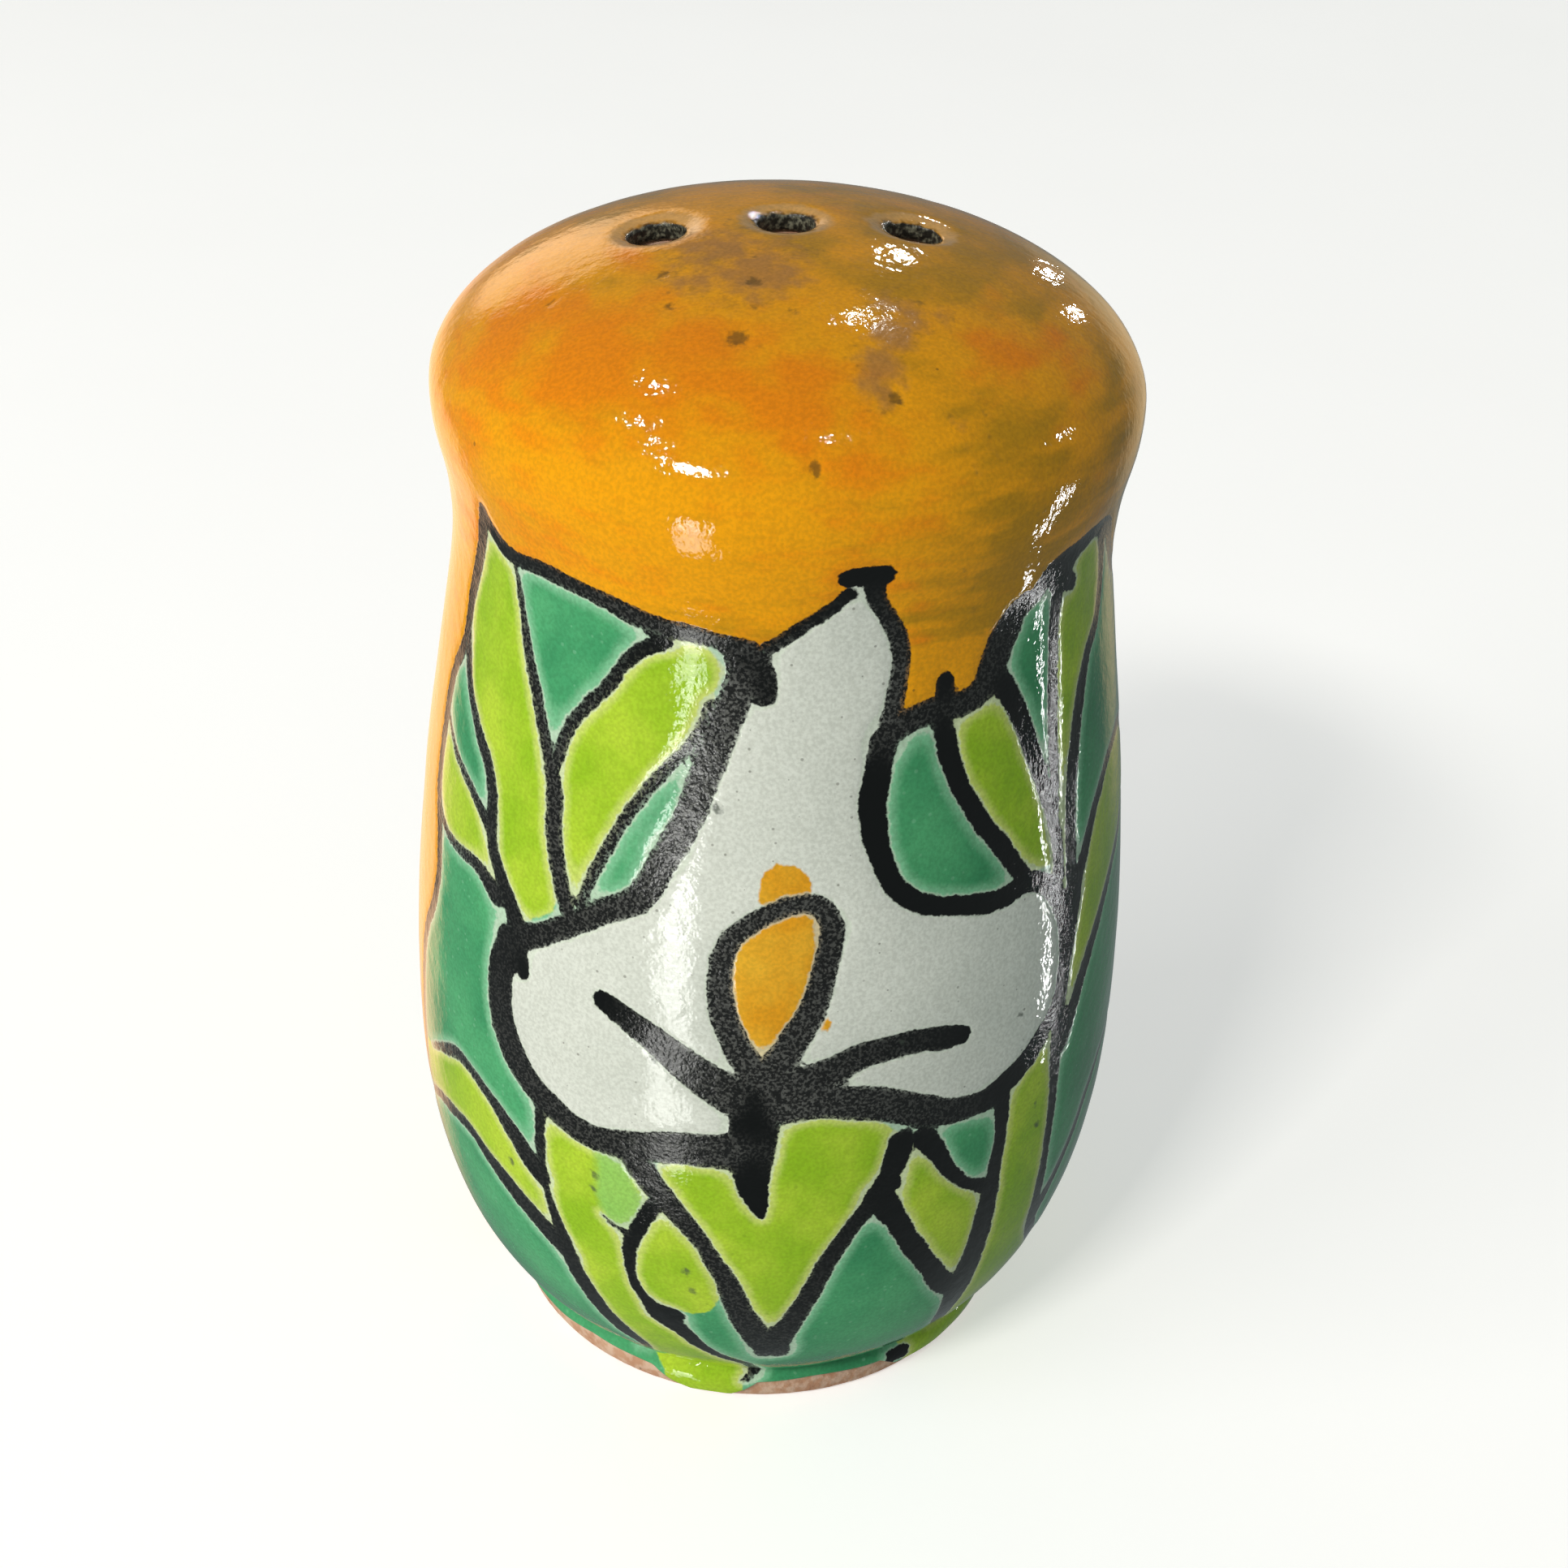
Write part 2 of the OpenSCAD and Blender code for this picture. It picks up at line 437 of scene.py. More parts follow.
def skin_points(arc, out):
    """Points on the skin in every column, at a distance down the outline for each."""
    radius, height = skin(arc, out)
    return around(radius, turn, height)


outer_points = skin_points(outer_arc, glaze_t)
bead_points = np.stack([skin_points(edge_arc + drop, out * glaze_t) for out, drop in EDGE_BEAD])
facing = np.unwrap(np.arctan2(outwards[:, 1], outwards[:, 0]))
worth = np.cumsum(np.abs(np.diff(facing, prepend=math.pi / 2))) / ROW_BEND + skin_arc / ROW_LENGTH
worth_low, worth_top = np.interp([edge_arc.max(), crown_arc], skin_arc, worth)
inner_base = np.interp(np.linspace(worth_low, worth_top, INNER_ROWS), worth, skin_arc)[:, None]
inner_share = (inner_base - crown_arc) / (inner_base.max() - crown_arc)
inner_arc = inner_base + inner_share ** EDGE_PULL * (edge_arc - inner_base.max())
inner_points = skin_points(inner_arc, INSIDE)

rim_r = float(skin(crown_arc, glaze_t)[0])
patch, patch_triangles, lips = crown_patch(rim_r, COLUMNS, FINE_SPACING, LIP_GAPS)
patch_outer = np.column_stack([patch, dished(patch, glaze_t)])
print("crown patch:", len(patch), "points,", len(patch_triangles), "triangles")

# %% [markdown]
# The glaze runs a little way down into each pour hole. Its lip goes down at the radius of the
# hole, so the hole keeps its size, and comes back up behind itself, where the clay is cut wider.

# %% Lips of the pour holes
LIP_STEPS = [(0.0, 0.3), (0.0, 0.65), (0.02, 0.95), (0.1, 1.1), (0.19, 0.95)]
LIP_BACK = 0.2


def widened(flat):
    """Flat points near a hole, moved away from it so that the hole's edge lies behind the lip."""
    moved = flat.copy()
    for x, y in holes:
        offset = flat - (x, y)
        gap = np.hypot(offset[:, 0], offset[:, 1]) - pour_r
        close = (gap > -SAME) & (gap < LIP_GAPS[-1])
        push = LIP_BACK * (1 - gap[close] / LIP_GAPS[-1]) / (gap[close] + pour_r)
        moved[close] += offset[close] * push[:, None]
    return moved


def lip_rows(lip):
    """Rows of points down into one hole from the ring of points around it."""
    top = patch_outer[lip]
    centre = top[:, :2].mean(axis=0)
    rows = []
    for wider, drop in LIP_STEPS:
        flat = centre + (top[:, :2] - centre) * (1 + wider / pour_r)
        rows.append(np.column_stack([flat, top[:, 2] - drop]))
    return np.stack(rows)


lip_points = np.stack([lip_rows(lip) for lip in lips])
patch_back = widened(patch)
patch_inner = np.column_stack([patch_back, dished(patch_back, INSIDE)])


# %% Number every point and join them
class Points:
    """Blocks of points, each remembered by where its numbers start."""

    def __init__(self):
        self.blocks = []
        self.count = 0

    def add(self, block):
        numbers = self.count + np.arange(block.size // 3).reshape(block.shape[:-1])
        self.blocks.append(block.reshape(-1, 3))
        self.count += block.size // 3
        return numbers

    def all(self):
        return np.concatenate(self.blocks)


store = Points()
outer_ids = store.add(outer_points)
top_ids = np.concatenate([outer_ids[0], store.add(patch_outer[COLUMNS:])])
lip_ids = store.add(lip_points)
painted_count = store.count
bead_ids = store.add(bead_points)
inner_ids = store.add(inner_points)
back_ids = np.concatenate([inner_ids[-1], store.add(patch_inner[COLUMNS:])])

quads = [strips(np.concatenate([outer_ids, bead_ids, inner_ids]))]
for lip, ids in zip(lips, lip_ids):
    quads.append(strips(np.concatenate([top_ids[lip][None], ids, back_ids[lip][None]]))[:, ::-1])
glaze_quads = np.concatenate(quads)
glaze_triangles = np.concatenate([top_ids[patch_triangles], back_ids[patch_triangles][:, ::-1]])
glaze_ideal = store.all()
glaze_points = hand_shape(glaze_ideal)
print("glaze shell:", store.count, "points, of which", painted_count, "are painted")

# %% [markdown]
# ## Painting on the points
#
# The painter works on a curved wall, so every stroke below is a list of places on that wall:
# turn in degrees from the front, height in mm above the foot, and the width of the brush in mm.
# The script measures how far each point of the glaze is from the edge of each stroke and keeps
# that distance as a number on the point. The material turns the numbers into ink and colour, and
# can make the edges as crisp or as ragged as a brush does, without any image.

# %% Where each painted point lies on the wall
REACH = 3.0
LINE_STEP = 0.25
CHUNK = 24
MM_PER_DEGREE = math.radians(1) * float(profile[:, 0].max())

painted = glaze_ideal[:painted_count]
up = painted[:, 2]
wall_turn = np.arctan2(painted[:, 0] + lean(up), -painted[:, 1])
deg = front_degrees(wall_turn)
canvas = around(np.hypot(painted[:, 0], painted[:, 1]), wall_turn, up)


def on_wall(places):
    """Points in mm on the outside of the pot, from rows of turn in degrees and height in mm."""
    radius = skin(arc_at_height(places[:, 1]), glaze_t)[0]
    return around(radius, np.radians(places[:, 0]), places[:, 1])


def to_wall(rows):
    """Rows of degrees, mm and more, with the degrees turned to mm so that both columns match."""
    wall = np.array(rows, float)
    wall[:, 0] *= MM_PER_DEGREE
    return wall


def drawn(rows):
    """The many close rows of one brush stroke, back in degrees and mm."""
    line = smooth_line(to_wall(rows), LINE_STEP)
    line[:, 0] /= MM_PER_DEGREE
    return line


def distance_to(line, half):
    """Distance in mm from every painted point to a line, less its half width, and its nearest row."""
    best = np.full(painted_count, REACH)
    nearest = np.zeros(painted_count, int)
    line_points = on_wall(line)
    spare = REACH + float(np.max(half))
    for start in range(0, len(line), CHUNK):
        part = slice(start, start + CHUNK)
        low = line_points[part].min(axis=0) - spare
        high = line_points[part].max(axis=0) + spare
        close = np.nonzero(((canvas > low) & (canvas < high)).all(axis=1))[0]
        if len(close) == 0:
            continue
        gaps = np.linalg.norm(canvas[close, None] - line_points[part][None], axis=2) - half[part][None]
        pick = gaps.argmin(axis=1)
        gap = gaps[np.arange(len(close)), pick]
        better = gap < best[close]
        best[close[better]] = gap[better]
        nearest[close[better]] = start + pick[better]
    return best, nearest


def area(rows):
    """Signed distance in mm to the edge of an area of the wall: negative inside it."""
    ring = np.array(list(rows) + [rows[0]], float)
    sides = np.linalg.norm(np.diff(to_wall(ring), axis=0), axis=1)
    counts = [max(2, round(side / LINE_STEP)) for side in sides]
    edge = np.concatenate([np.linspace(a, b, n, endpoint=False)
                           for a, b, n in zip(ring[:-1], ring[1:], counts)])
    inside = np.zeros(painted_count, bool)
    for (x0, y0), (x1, y1) in zip(ring[:-1], ring[1:]):
        if y0 != y1:
            crosses = (up > min(y0, y1)) & (up <= max(y0, y1))
            inside ^= crosses & (deg < x0 + (up - y0) * (x1 - x0) / (y1 - y0))
    distance = distance_to(edge, np.zeros(len(edge)))[0]
    return np.where(inside, -distance, distance)


print("canvas:", painted_count, "points between", round(deg.min()), "and", round(deg.max()), "degrees")

# %% [markdown]
# ## The brush lines
#
# The drawing is a white calla lily on long leaves, below a scalloped border that holds back the
# yellow of the dome. The brush runs wet and black in some strokes and nearly dry and grey in
# others, so each stroke also has an ink load at its start and at its end, from 0, dry, to 1, wet.
# Down the left side of the lily the grey of the dry strokes is partly a painted sheen.

# %% Border strokes: (ink at start, ink at end, [(degrees, mm up, width), ...])
BORDER = [
    (1.0, 0.5, [
        (-55, 67.6, 1.2), (-50, 66.2, 1.2), (-40, 66.2, 1.1), (-30, 65.8, 1.2), (-20, 65.0, 1.3),
        (-10, 64.6, 1.2), (-4.5, 64.0, 1.6),
    ]),
    (0.8, 0.8, [
        (-54.5, 68.0, 1.0), (-58, 65.0, 1.1), (-62.5, 61.0, 1.1), (-63.5, 57.5, 1.0),
        (-66.5, 55.0, 1.0), (-68, 51.0, 1.0), (-68, 46.5, 1.0), (-65.5, 43.0, 1.0), (-64.5, 40.0, 1.0),
        (-65.5, 38.0, 1.0), (-70, 34.0, 1.0), (-72, 29.0, 1.0), (-73.5, 22.0, 0.9), (-77, 12.0, 0.9),
        (-80, 3.0, 0.9),
    ]),
    (0.7, 1.0, [
        (16.8, 58.3, 1.6), (20, 59.1, 1.6), (26.5, 59.7, 1.7), (31, 59.7, 1.7), (34, 60.2, 1.8),
        (36.5, 61.7, 2.3), (38.5, 63.3, 2.4), (41, 64.7, 1.8), (44.7, 65.3, 1.4), (48, 66.4, 1.7),
        (51, 66.6, 2.0), (55.6, 67.1, 1.5), (60, 67.4, 1.2), (65.5, 67.0, 1.1), (71, 65.0, 1.1),
        (77, 62.5, 1.1), (84, 61.0, 1.1), (90.5, 60.5, 1.1),
    ]),
    (1.0, 1.0, [(27.2, 60.0, 1.5), (27.3, 61.4, 1.2)]),
    (1.0, 1.0, [(48.5, 65.8, 1.3), (52, 65.3, 1.6), (55.4, 64.4, 0.9)]),
    (1.0, 0.9, [(46, 3.2, 0.7), (52, 2.9, 0.9), (60, 3.2, 0.9), (75, 3.3, 0.9), (90.5, 3.3, 0.9)]),
]

# %% Lily strokes
# Down the lily's left side the low ink loads give grey lines that are partly a painted sheen.
LILY = [
    (0.15, 0.3, [
        (-5, 62.5, 2.0), (-7.6, 59.7, 2.0), (-10.5, 56, 2.0), (-12.5, 53.2, 1.9), (-15.5, 50.5, 1.9),
    ]),
    (0.3, 0.85, [
        (-15.5, 50.5, 1.9), (-20.2, 46.9, 1.8), (-24.6, 45.7, 1.7), (-32.6, 43.2, 1.6),
        (-36.7, 42.0, 1.7), (-40, 41.2, 2.0), (-42.6, 40.2, 2.4),
    ]),
    (0.9, 0.9, [(-6.5, 64.0, 1.8), (-4, 62.8, 2.6), (-2, 61.4, 1.6)]),
    (0.8, 1.0, [(-4, 63.6, 1.0), (0, 64.8, 0.9), (3.5, 65.9, 0.9), (7, 66.9, 0.9), (10.2, 68.1, 0.9)]),
    (1.0, 1.0, [(9.8, 69.2, 1.3), (15, 69.3, 1.4)]),
    (1.0, 0.3, [
        (13.6, 69.0, 1.4), (14.5, 67.6, 1.1), (16.3, 66.4, 1.1), (18.4, 65.0, 1.2), (19.5, 63.2, 1.2),
        (19, 61.5, 1.2), (17.2, 58.2, 1.4),
    ]),
    (1.0, 1.0, [
        (17.1, 58.3, 1.7), (16.2, 56.6, 1.7), (15.4, 54.5, 1.8), (15.7, 52.5, 1.7), (17, 50.5, 1.4),
        (18.5, 49.0, 1.4), (21, 47.9, 1.4), (24, 47.1, 1.4), (28, 46.6, 1.4), (32, 46.2, 1.5),
        (37, 45.9, 1.5), (44.7, 45.9, 1.5), (48, 45.0, 1.5), (50.6, 43.5, 1.6), (52.3, 41.5, 1.5),
        (52.6, 39.5, 1.4), (52.2, 37.5, 1.4), (51, 35.5, 1.4), (48, 33.9, 1.7), (44, 32.4, 2.0),
        (40, 31.5, 2.0), (36, 30.8, 1.9),
    ]),
    (0.9, 0.35, [
        (36, 30.8, 1.9), (32, 30.9, 2.0), (28, 31.2, 2.3), (24, 31.9, 2.5), (20, 32.7, 2.6),
        (16, 33.3, 2.7), (12, 33.6, 2.6), (8, 33.9, 2.8), (3, 33.6, 3.0),
    ]),
    (0.9, 0.5, [
        (-42, 40.4, 2.6), (-43.8, 38.2, 2.4), (-44, 36.0, 2.4), (-43, 34.0, 2.5), (-40.5, 32.0, 2.5),
        (-36.5, 30.3, 2.3), (-32, 29.3, 2.2), (-28, 28.6, 2.0), (-24, 28.4, 2.1), (-18, 28.8, 2.4),
        (-12, 29.4, 2.6), (-6, 29.6, 2.8), (-1.5, 30.0, 3.0),
    ]),
    (1.0, 1.0, [(-40.5, 39.8, 1.8), (-39.4, 38.9, 1.4)]),
    (1.0, 0.4, [
        (-24.3, 39.3, 1.5), (-20, 38.4, 1.8), (-16, 37.5, 2.1), (-12, 36.3, 2.4), (-8, 35.1, 2.7),
        (-3.5, 34.0, 3.0),
    ]),
    (1.0, 0.4, [
        (30.6, 36.9, 1.5), (28, 37.1, 1.8), (24, 37.4, 1.75), (19, 37.3, 1.8), (14, 36.9, 2.0),
        (10, 36.0, 2.2), (5, 35.2, 2.4), (1, 34.6, 3.0),
    ]),
    (1.0, 1.0, [
        (-0.8, 34.0, 3.4), (-0.9, 30.0, 3.0), (-0.6, 27.0, 2.0), (0.4, 25.2, 1.2), (0.9, 24.3, 0.4),
    ]),
    (0.4, 0.5, [
        (-0.5, 35.6, 2.2), (-3, 37.3, 2.0), (-5.6, 39.8, 1.8), (-6.7, 42.8, 1.6), (-5.2, 45.4, 1.4),
        (-1, 47.0, 1.3), (4, 48.0, 1.3), (8, 47.8, 1.4), (9.7, 46.3, 1.5),
    ]),
    (0.6, 0.4, [
        (9.7, 46.3, 1.5), (8.8, 43.8, 1.6), (7.3, 41.0, 1.8), (5, 38.8, 2.0), (2.5, 36.9, 2.1),
        (0, 35.3, 2.3),
    ]),
]

# %% Leaf strokes above the lily's lobes
UPPER_LEAVES = [
    (0.6, 0.9, [
        (-62.3, 58.0, 0.9), (-60, 55.6, 0.9), (-54.6, 52.8, 1.0), (-51.4, 51.6, 1.1),
        (-49.4, 50.0, 1.1), (-48, 46.4, 1.2), (-46, 44.9, 1.3), (-43.5, 43.5, 1.4), (-41.7, 42.3, 1.6),
    ]),
    (0.7, 0.6, [
        (-47, 65.2, 0.5), (-46.4, 63.5, 0.6), (-45.2, 61.6, 0.7), (-41.7, 58.2, 0.9),
        (-38.2, 55.0, 1.0), (-36, 52.8, 1.3), (-34.8, 49.0, 1.3), (-32.6, 46.0, 1.3), (-31, 44.4, 1.3),
    ]),
    (1.0, 0.6, [
        (-17.8, 64.0, 1.1), (-22.3, 62.9, 0.9), (-27.8, 60.0, 0.9), (-33.5, 57.0, 0.9),
        (-36, 54.0, 0.9),
    ]),
    (0.5, 0.6, [
        (-10.2, 60.3, 0.8), (-12, 58.3, 0.8), (-17, 55.7, 0.8), (-21.7, 52.8, 0.8), (-26.4, 48.8, 0.8),
        (-29.4, 45.5, 0.8),
    ]),
    (1.0, 1.0, [
        (26.8, 58.8, 1.5), (28.8, 55.5, 1.3), (33.2, 52.1, 1.3), (38.5, 49.0, 1.3), (42.6, 46.4, 1.3),
    ]),
    (1.0, 1.0, [
        (37.5, 60.5, 1.6), (41.2, 58.3, 1.5), (44.7, 55.0, 1.4), (48, 51.4, 1.3), (50, 48.6, 1.2),
        (51, 45.0, 1.2),
    ]),
    (1.0, 1.0, [
        (50.7, 65.0, 1.2), (50.6, 60.0, 1.0), (50, 56.0, 1.0), (50, 52.0, 1.0), (49.9, 48.5, 1.0),
    ]),
    (0.9, 1.0, [
        (62.6, 67.2, 1.0), (66.4, 65.0, 1.0), (68.4, 62.6, 1.0), (67, 60.5, 1.0), (62, 58.8, 1.1),
        (57.6, 55.3, 1.3), (54.7, 50.2, 1.3), (54.4, 45.0, 1.2), (54.5, 42.0, 1.2),
    ]),
    (0.4, 0.8, [
        (-67.5, 45.2, 0.5), (-62.3, 44.0, 0.7), (-57.3, 43.9, 0.8), (-51.4, 44.0, 1.1),
        (-46, 43.0, 1.6),
    ]),
    (0.3, 0.8, [(-67, 51.8, 0.5), (-62.3, 50.2, 0.6), (-55.5, 48.9, 0.8), (-49, 47.3, 1.0)]),
    (1.0, 0.8, [
        (53.8, 41.5, 1.8), (58, 44.8, 1.3), (64, 48.2, 1.1), (71, 50.0, 0.9), (80, 50.3, 0.9),
        (86, 48.8, 0.8), (90.5, 46.4, 0.8),
    ]),
    (1.0, 0.8, [
        (53, 31.5, 1.7), (55.5, 33.6, 1.6), (58.7, 36.0, 1.4), (62.4, 37.9, 1.3), (70.8, 41.1, 1.0),
        (83, 43.8, 0.8), (90.5, 46.0, 0.8),
    ]),
]

# %% Leaf strokes below the lily's lobes
LOWER_LEAVES = [
    (1.0, 0.9, [
        (56.5, 43.6, 1.2), (54.6, 41.0, 1.7), (53.4, 38.5, 1.4), (52.4, 36.0, 1.2), (51.7, 33.0, 1.5),
        (51.7, 28.0, 1.0), (52, 22.0, 0.9), (53, 17.0, 1.2), (54.2, 14.5, 1.3), (57, 12.3, 1.2),
        (62, 10.4, 1.0), (68, 9.4, 0.9), (76, 10.0, 0.9), (90.5, 13.0, 0.8),
    ]),
    (1.0, 0.8, [
        (54.3, 15.5, 1.6), (57, 17.6, 1.3), (61.5, 20.6, 1.1), (66.5, 23.8, 1.0), (71, 25.3, 0.8),
        (78, 26.0, 0.8), (90.5, 25.5, 0.8),
    ]),
    (1.0, 0.8, [
        (39.2, 30.8, 1.6), (39.5, 27.0, 1.1), (39, 24.0, 1.3), (38.6, 20.5, 1.9), (38.2, 17.0, 2.1),
        (37.6, 13.0, 2.5), (38, 10.0, 2.1), (38.5, 7.5, 1.5), (40, 5.5, 1.2), (43, 4.0, 1.0),
        (47, 3.2, 0.8),
    ]),
    (1.0, 1.0, [
        (25.2, 29.6, 1.8), (27.5, 28.0, 1.4), (30.2, 25.9, 1.1), (33.5, 24.2, 0.9), (37, 23.2, 1.3),
    ]),
    (1.0, 1.0, [
        (18.5, 25.3, 2.2), (22, 22.6, 1.6), (25.5, 19.6, 1.6), (29, 17.0, 1.6), (32.5, 14.5, 1.8),
        (36, 13.0, 2.2),
    ]),
    (0.7, 0.8, [
        (-19, 28.0, 2.0), (-16.3, 26.3, 2.0), (-13.3, 24.6, 1.8), (-10, 22.8, 1.5), (-7, 20.6, 1.3),
        (-4.2, 18.0, 1.6), (-2, 14.8, 1.9), (0.5, 12.0, 2.2), (3, 9.9, 2.4),
    ]),
    (1.0, 0.8, [
        (21.5, 29.6, 2.0), (20.3, 27.5, 1.7), (17.5, 25.0, 1.4), (14.3, 22.7, 1.3), (11.4, 20.0, 1.4),
        (9.3, 17.0, 1.5), (7, 14.0, 1.6), (5, 11.5, 2.0), (3.8, 9.4, 2.2),
    ]),
    (1.0, 0.6, [(2.6, 9.6, 1.7), (2.6, 8.8, 1.6)]),
    (1.0, 0.6, [(4.9, 9.6, 1.7), (4.9, 8.8, 1.6)]),
    (0.9, 0.9, [
        (-35, 28.4, 0.9), (-35.1, 25.5, 0.9), (-34.4, 22.5, 0.7), (-33, 20.0, 0.9), (-31.6, 17.5, 1.4),
        (-30, 14.5, 1.6), (-27.8, 12.0, 1.6), (-25.8, 10.0, 1.6), (-22.8, 8.0, 1.5), (-20.6, 6.6, 1.0),
        (-21, 5.0, 0.7), (-23.5, 3.5, 0.6), (-26.5, 2.9, 0.4),
    ]),
    (1.0, 0.9, [
        (-15.5, 24.0, 1.2), (-17.5, 22.0, 1.2), (-19.2, 20.2, 1.2), (-19.7, 18.0, 0.8),
        (-19.2, 16.0, 0.8), (-17.5, 14.2, 1.0), (-15, 12.6, 1.9), (-12.5, 11.5, 1.6), (-9, 9.3, 1.1),
        (-6, 7.9, 0.9), (-3, 7.0, 0.8), (-0.5, 6.2, 0.8), (0.8, 5.0, 0.8), (1.2, 2.6, 0.8),
    ]),
    (1.0, 1.0, [(-15.2, 13.2, 1.7), (-13, 13.1, 1.7)]),
    (0.8, 0.6, [(1.2, 2.8, 0.9), (0, 2.3, 0.6), (-1.5, 2.0, 0.3)]),
    (0.3, 0.9, [
        (-68, 24.6, 0.4), (-60, 26.9, 0.9), (-55.5, 27.9, 1.1), (-50, 27.6, 0.9), (-45, 26.6, 1.2),
        (-41, 25.3, 1.6), (-37, 23.7, 1.8), (-35, 22.8, 1.6),
    ]),
    (0.6, 0.9, [
        (-73, 19.0, 0.6), (-65, 21.0, 0.9), (-60, 21.7, 1.1), (-51.5, 22.0, 1.1), (-48, 21.2, 1.3),
        (-44, 20.3, 1.6), (-40, 19.2, 1.8), (-36, 18.0, 1.9), (-32, 16.6, 2.0),
    ]),
    (0.5, 0.8, [(-24, 21.9, 0.3), (-22, 21.2, 0.4), (-20.4, 21.0, 0.7)]),
    (1.0, 1.0, [(33.8, 1.8, 1.2), (37, 1.8, 1.2)]),
    (1.0, 1.0, [(20.5, 26.6, 1.2), (21, 26.2, 1.0)]),
]

# %% [markdown]
# A painter who fills a shelf with such pots repeats the drawing on the back. The back here is the
# same drawing seen in a mirror, with its places shifted a little, as a second try would be.

# %% The same strokes for the back
BACK_MIDDLE = 90.5


def to_back(place):
    """A place on the front, moved to its twin on the back of the pot."""
    degrees, height = place[0], place[1]
    drift = 0.5 * math.sin(math.radians(3.1 * degrees)) * gentle(height, 4.0, 12.0)
    far = gentle(abs(degrees - BACK_MIDDLE), 10.0, 40.0)
    twin = 2 * BACK_MIDDLE - degrees + 0.8 * far * math.sin(math.radians(5 * height))
    return (twin, height + far * float(drift)) + tuple(place[2:])


front_strokes = BORDER + LILY + UPPER_LEAVES + LOWER_LEAVES
strokes = front_strokes + [(a, b, [to_back(p) for p in rows]) for a, b, rows in front_strokes]

# %% Distances to the brush lines
SOFT_CORNER = 0.42
INK_MIX = 0.35

line_mm = np.full(painted_count, REACH)
corner_sum = np.full(painted_count, math.exp(-REACH / SOFT_CORNER))
ink_sum = np.full(painted_count, 1e-9)
ink_weight = np.full(painted_count, 1e-9)
for ink_start, ink_end, rows in strokes:
    line = drawn(rows)
    gap, nearest = distance_to(line[:, :2], line[:, 2] / 2)
    load = ink_start + (ink_end - ink_start) * nearest / (len(line) - 1)
    share_here = np.where(gap < REACH, np.exp(-gap / INK_MIX), 0)
    ink_sum += share_here * load
    ink_weight += share_here
    line_mm = np.minimum(line_mm, gap)
    corner_sum += np.where(gap < REACH, np.exp(-gap / SOFT_CORNER) - math.exp(-REACH / SOFT_CORNER), 0)
fill_mm = -SOFT_CORNER * np.log(corner_sum)
ink = ink_sum / ink_weight
print(len(strokes), "brush strokes;", int((line_mm < 0).sum()), "points lie under ink")
# %% [markdown]
# ## The areas of colour
#
# Each colour is flooded up to the lines, so the edge of an area only has to lie somewhere under
# the ink. That makes a few corners enough. Teal is the ground of the whole painted panel, lime
# fills the leaves, a thin white shows the tin glaze on the lily, and everything outside the
# panel is the yellow of the dome, which runs down the far side of the pot as a tongue.

# %% The panel and the lily
PANEL = [
    (94, 60.5), (84, 61), (77, 62.5), (71, 65), (65.5, 67), (60, 67.4), (51, 66.6), (44.7, 65.3),
    (41, 64.7), (37, 62), (34, 60.2), (28, 59.7), (20, 59.1), (17.5, 58.3), (19, 61.5), (19.5, 63.2),
    (18.4, 65), (15, 67), (14, 69.2), (10.5, 68.8), (7, 66.9), (0, 64.8), (-4.5, 63.8), (-10, 64.6),
    (-20, 65), (-30, 65.8), (-40, 66.2), (-50, 66.2), (-54.8, 67.7), (-58, 65), (-62.5, 61),
    (-63.5, 57.5), (-66.5, 55), (-68, 51), (-68, 46.5), (-65.5, 43), (-64.5, 40), (-65.5, 38),
    (-70, 34), (-72, 29), (-73.5, 22), (-77, 12), (-80, 3), (-81, -3), (94, -3),
]
PETALS = [
    (-5, 62.5), (-3.5, 63.5), (0, 64.8), (7, 67), (10.5, 68.9), (13.6, 68.8), (15, 67.2), (18.4, 65),
    (19.5, 63.2), (19, 61.5), (17.2, 58.2), (15.4, 54.5), (15.7, 52.5), (17, 50.5), (18.5, 49),
    (21, 47.9), (24, 47.1), (28, 46.6), (37, 45.9), (44.7, 45.9), (48, 45), (50.6, 43.5), (52.3, 41.5),
    (52.6, 39.5), (51, 35.5), (48, 33.9), (44, 32.4), (36, 30.8), (28, 31.2), (20, 32.7), (12, 33.6),
    (3, 33.6), (-1.5, 30), (-12, 29.4), (-18, 28.8), (-28, 28.6), (-32, 29.3), (-36.5, 30.3),
    (-40.5, 32), (-43, 34), (-44, 36), (-43.8, 38.2), (-42, 40.4), (-36.7, 42), (-32.6, 43.2),
    (-24.6, 45.7), (-20.2, 46.9), (-15.5, 50.5), (-12.5, 53.2), (-10.5, 56), (-7.6, 59.7),
]
SPADIX = [
    (0.3, 36.5), (-3.5, 39), (-5.8, 42), (-4.8, 45), (-1, 46.7), (5, 47.8), (8.8, 47), (8.8, 44.5),
    (7, 41.5), (4, 38.5),
]
FLECK = [(8.2, 39.5), (9, 40.3), (9.9, 39.7), (9, 38.9)]
DAB = [(-1.6, 48.2), (-1, 50), (1, 50.7), (4, 50.6), (6.2, 49.6), (6.4, 48), (2, 47)]

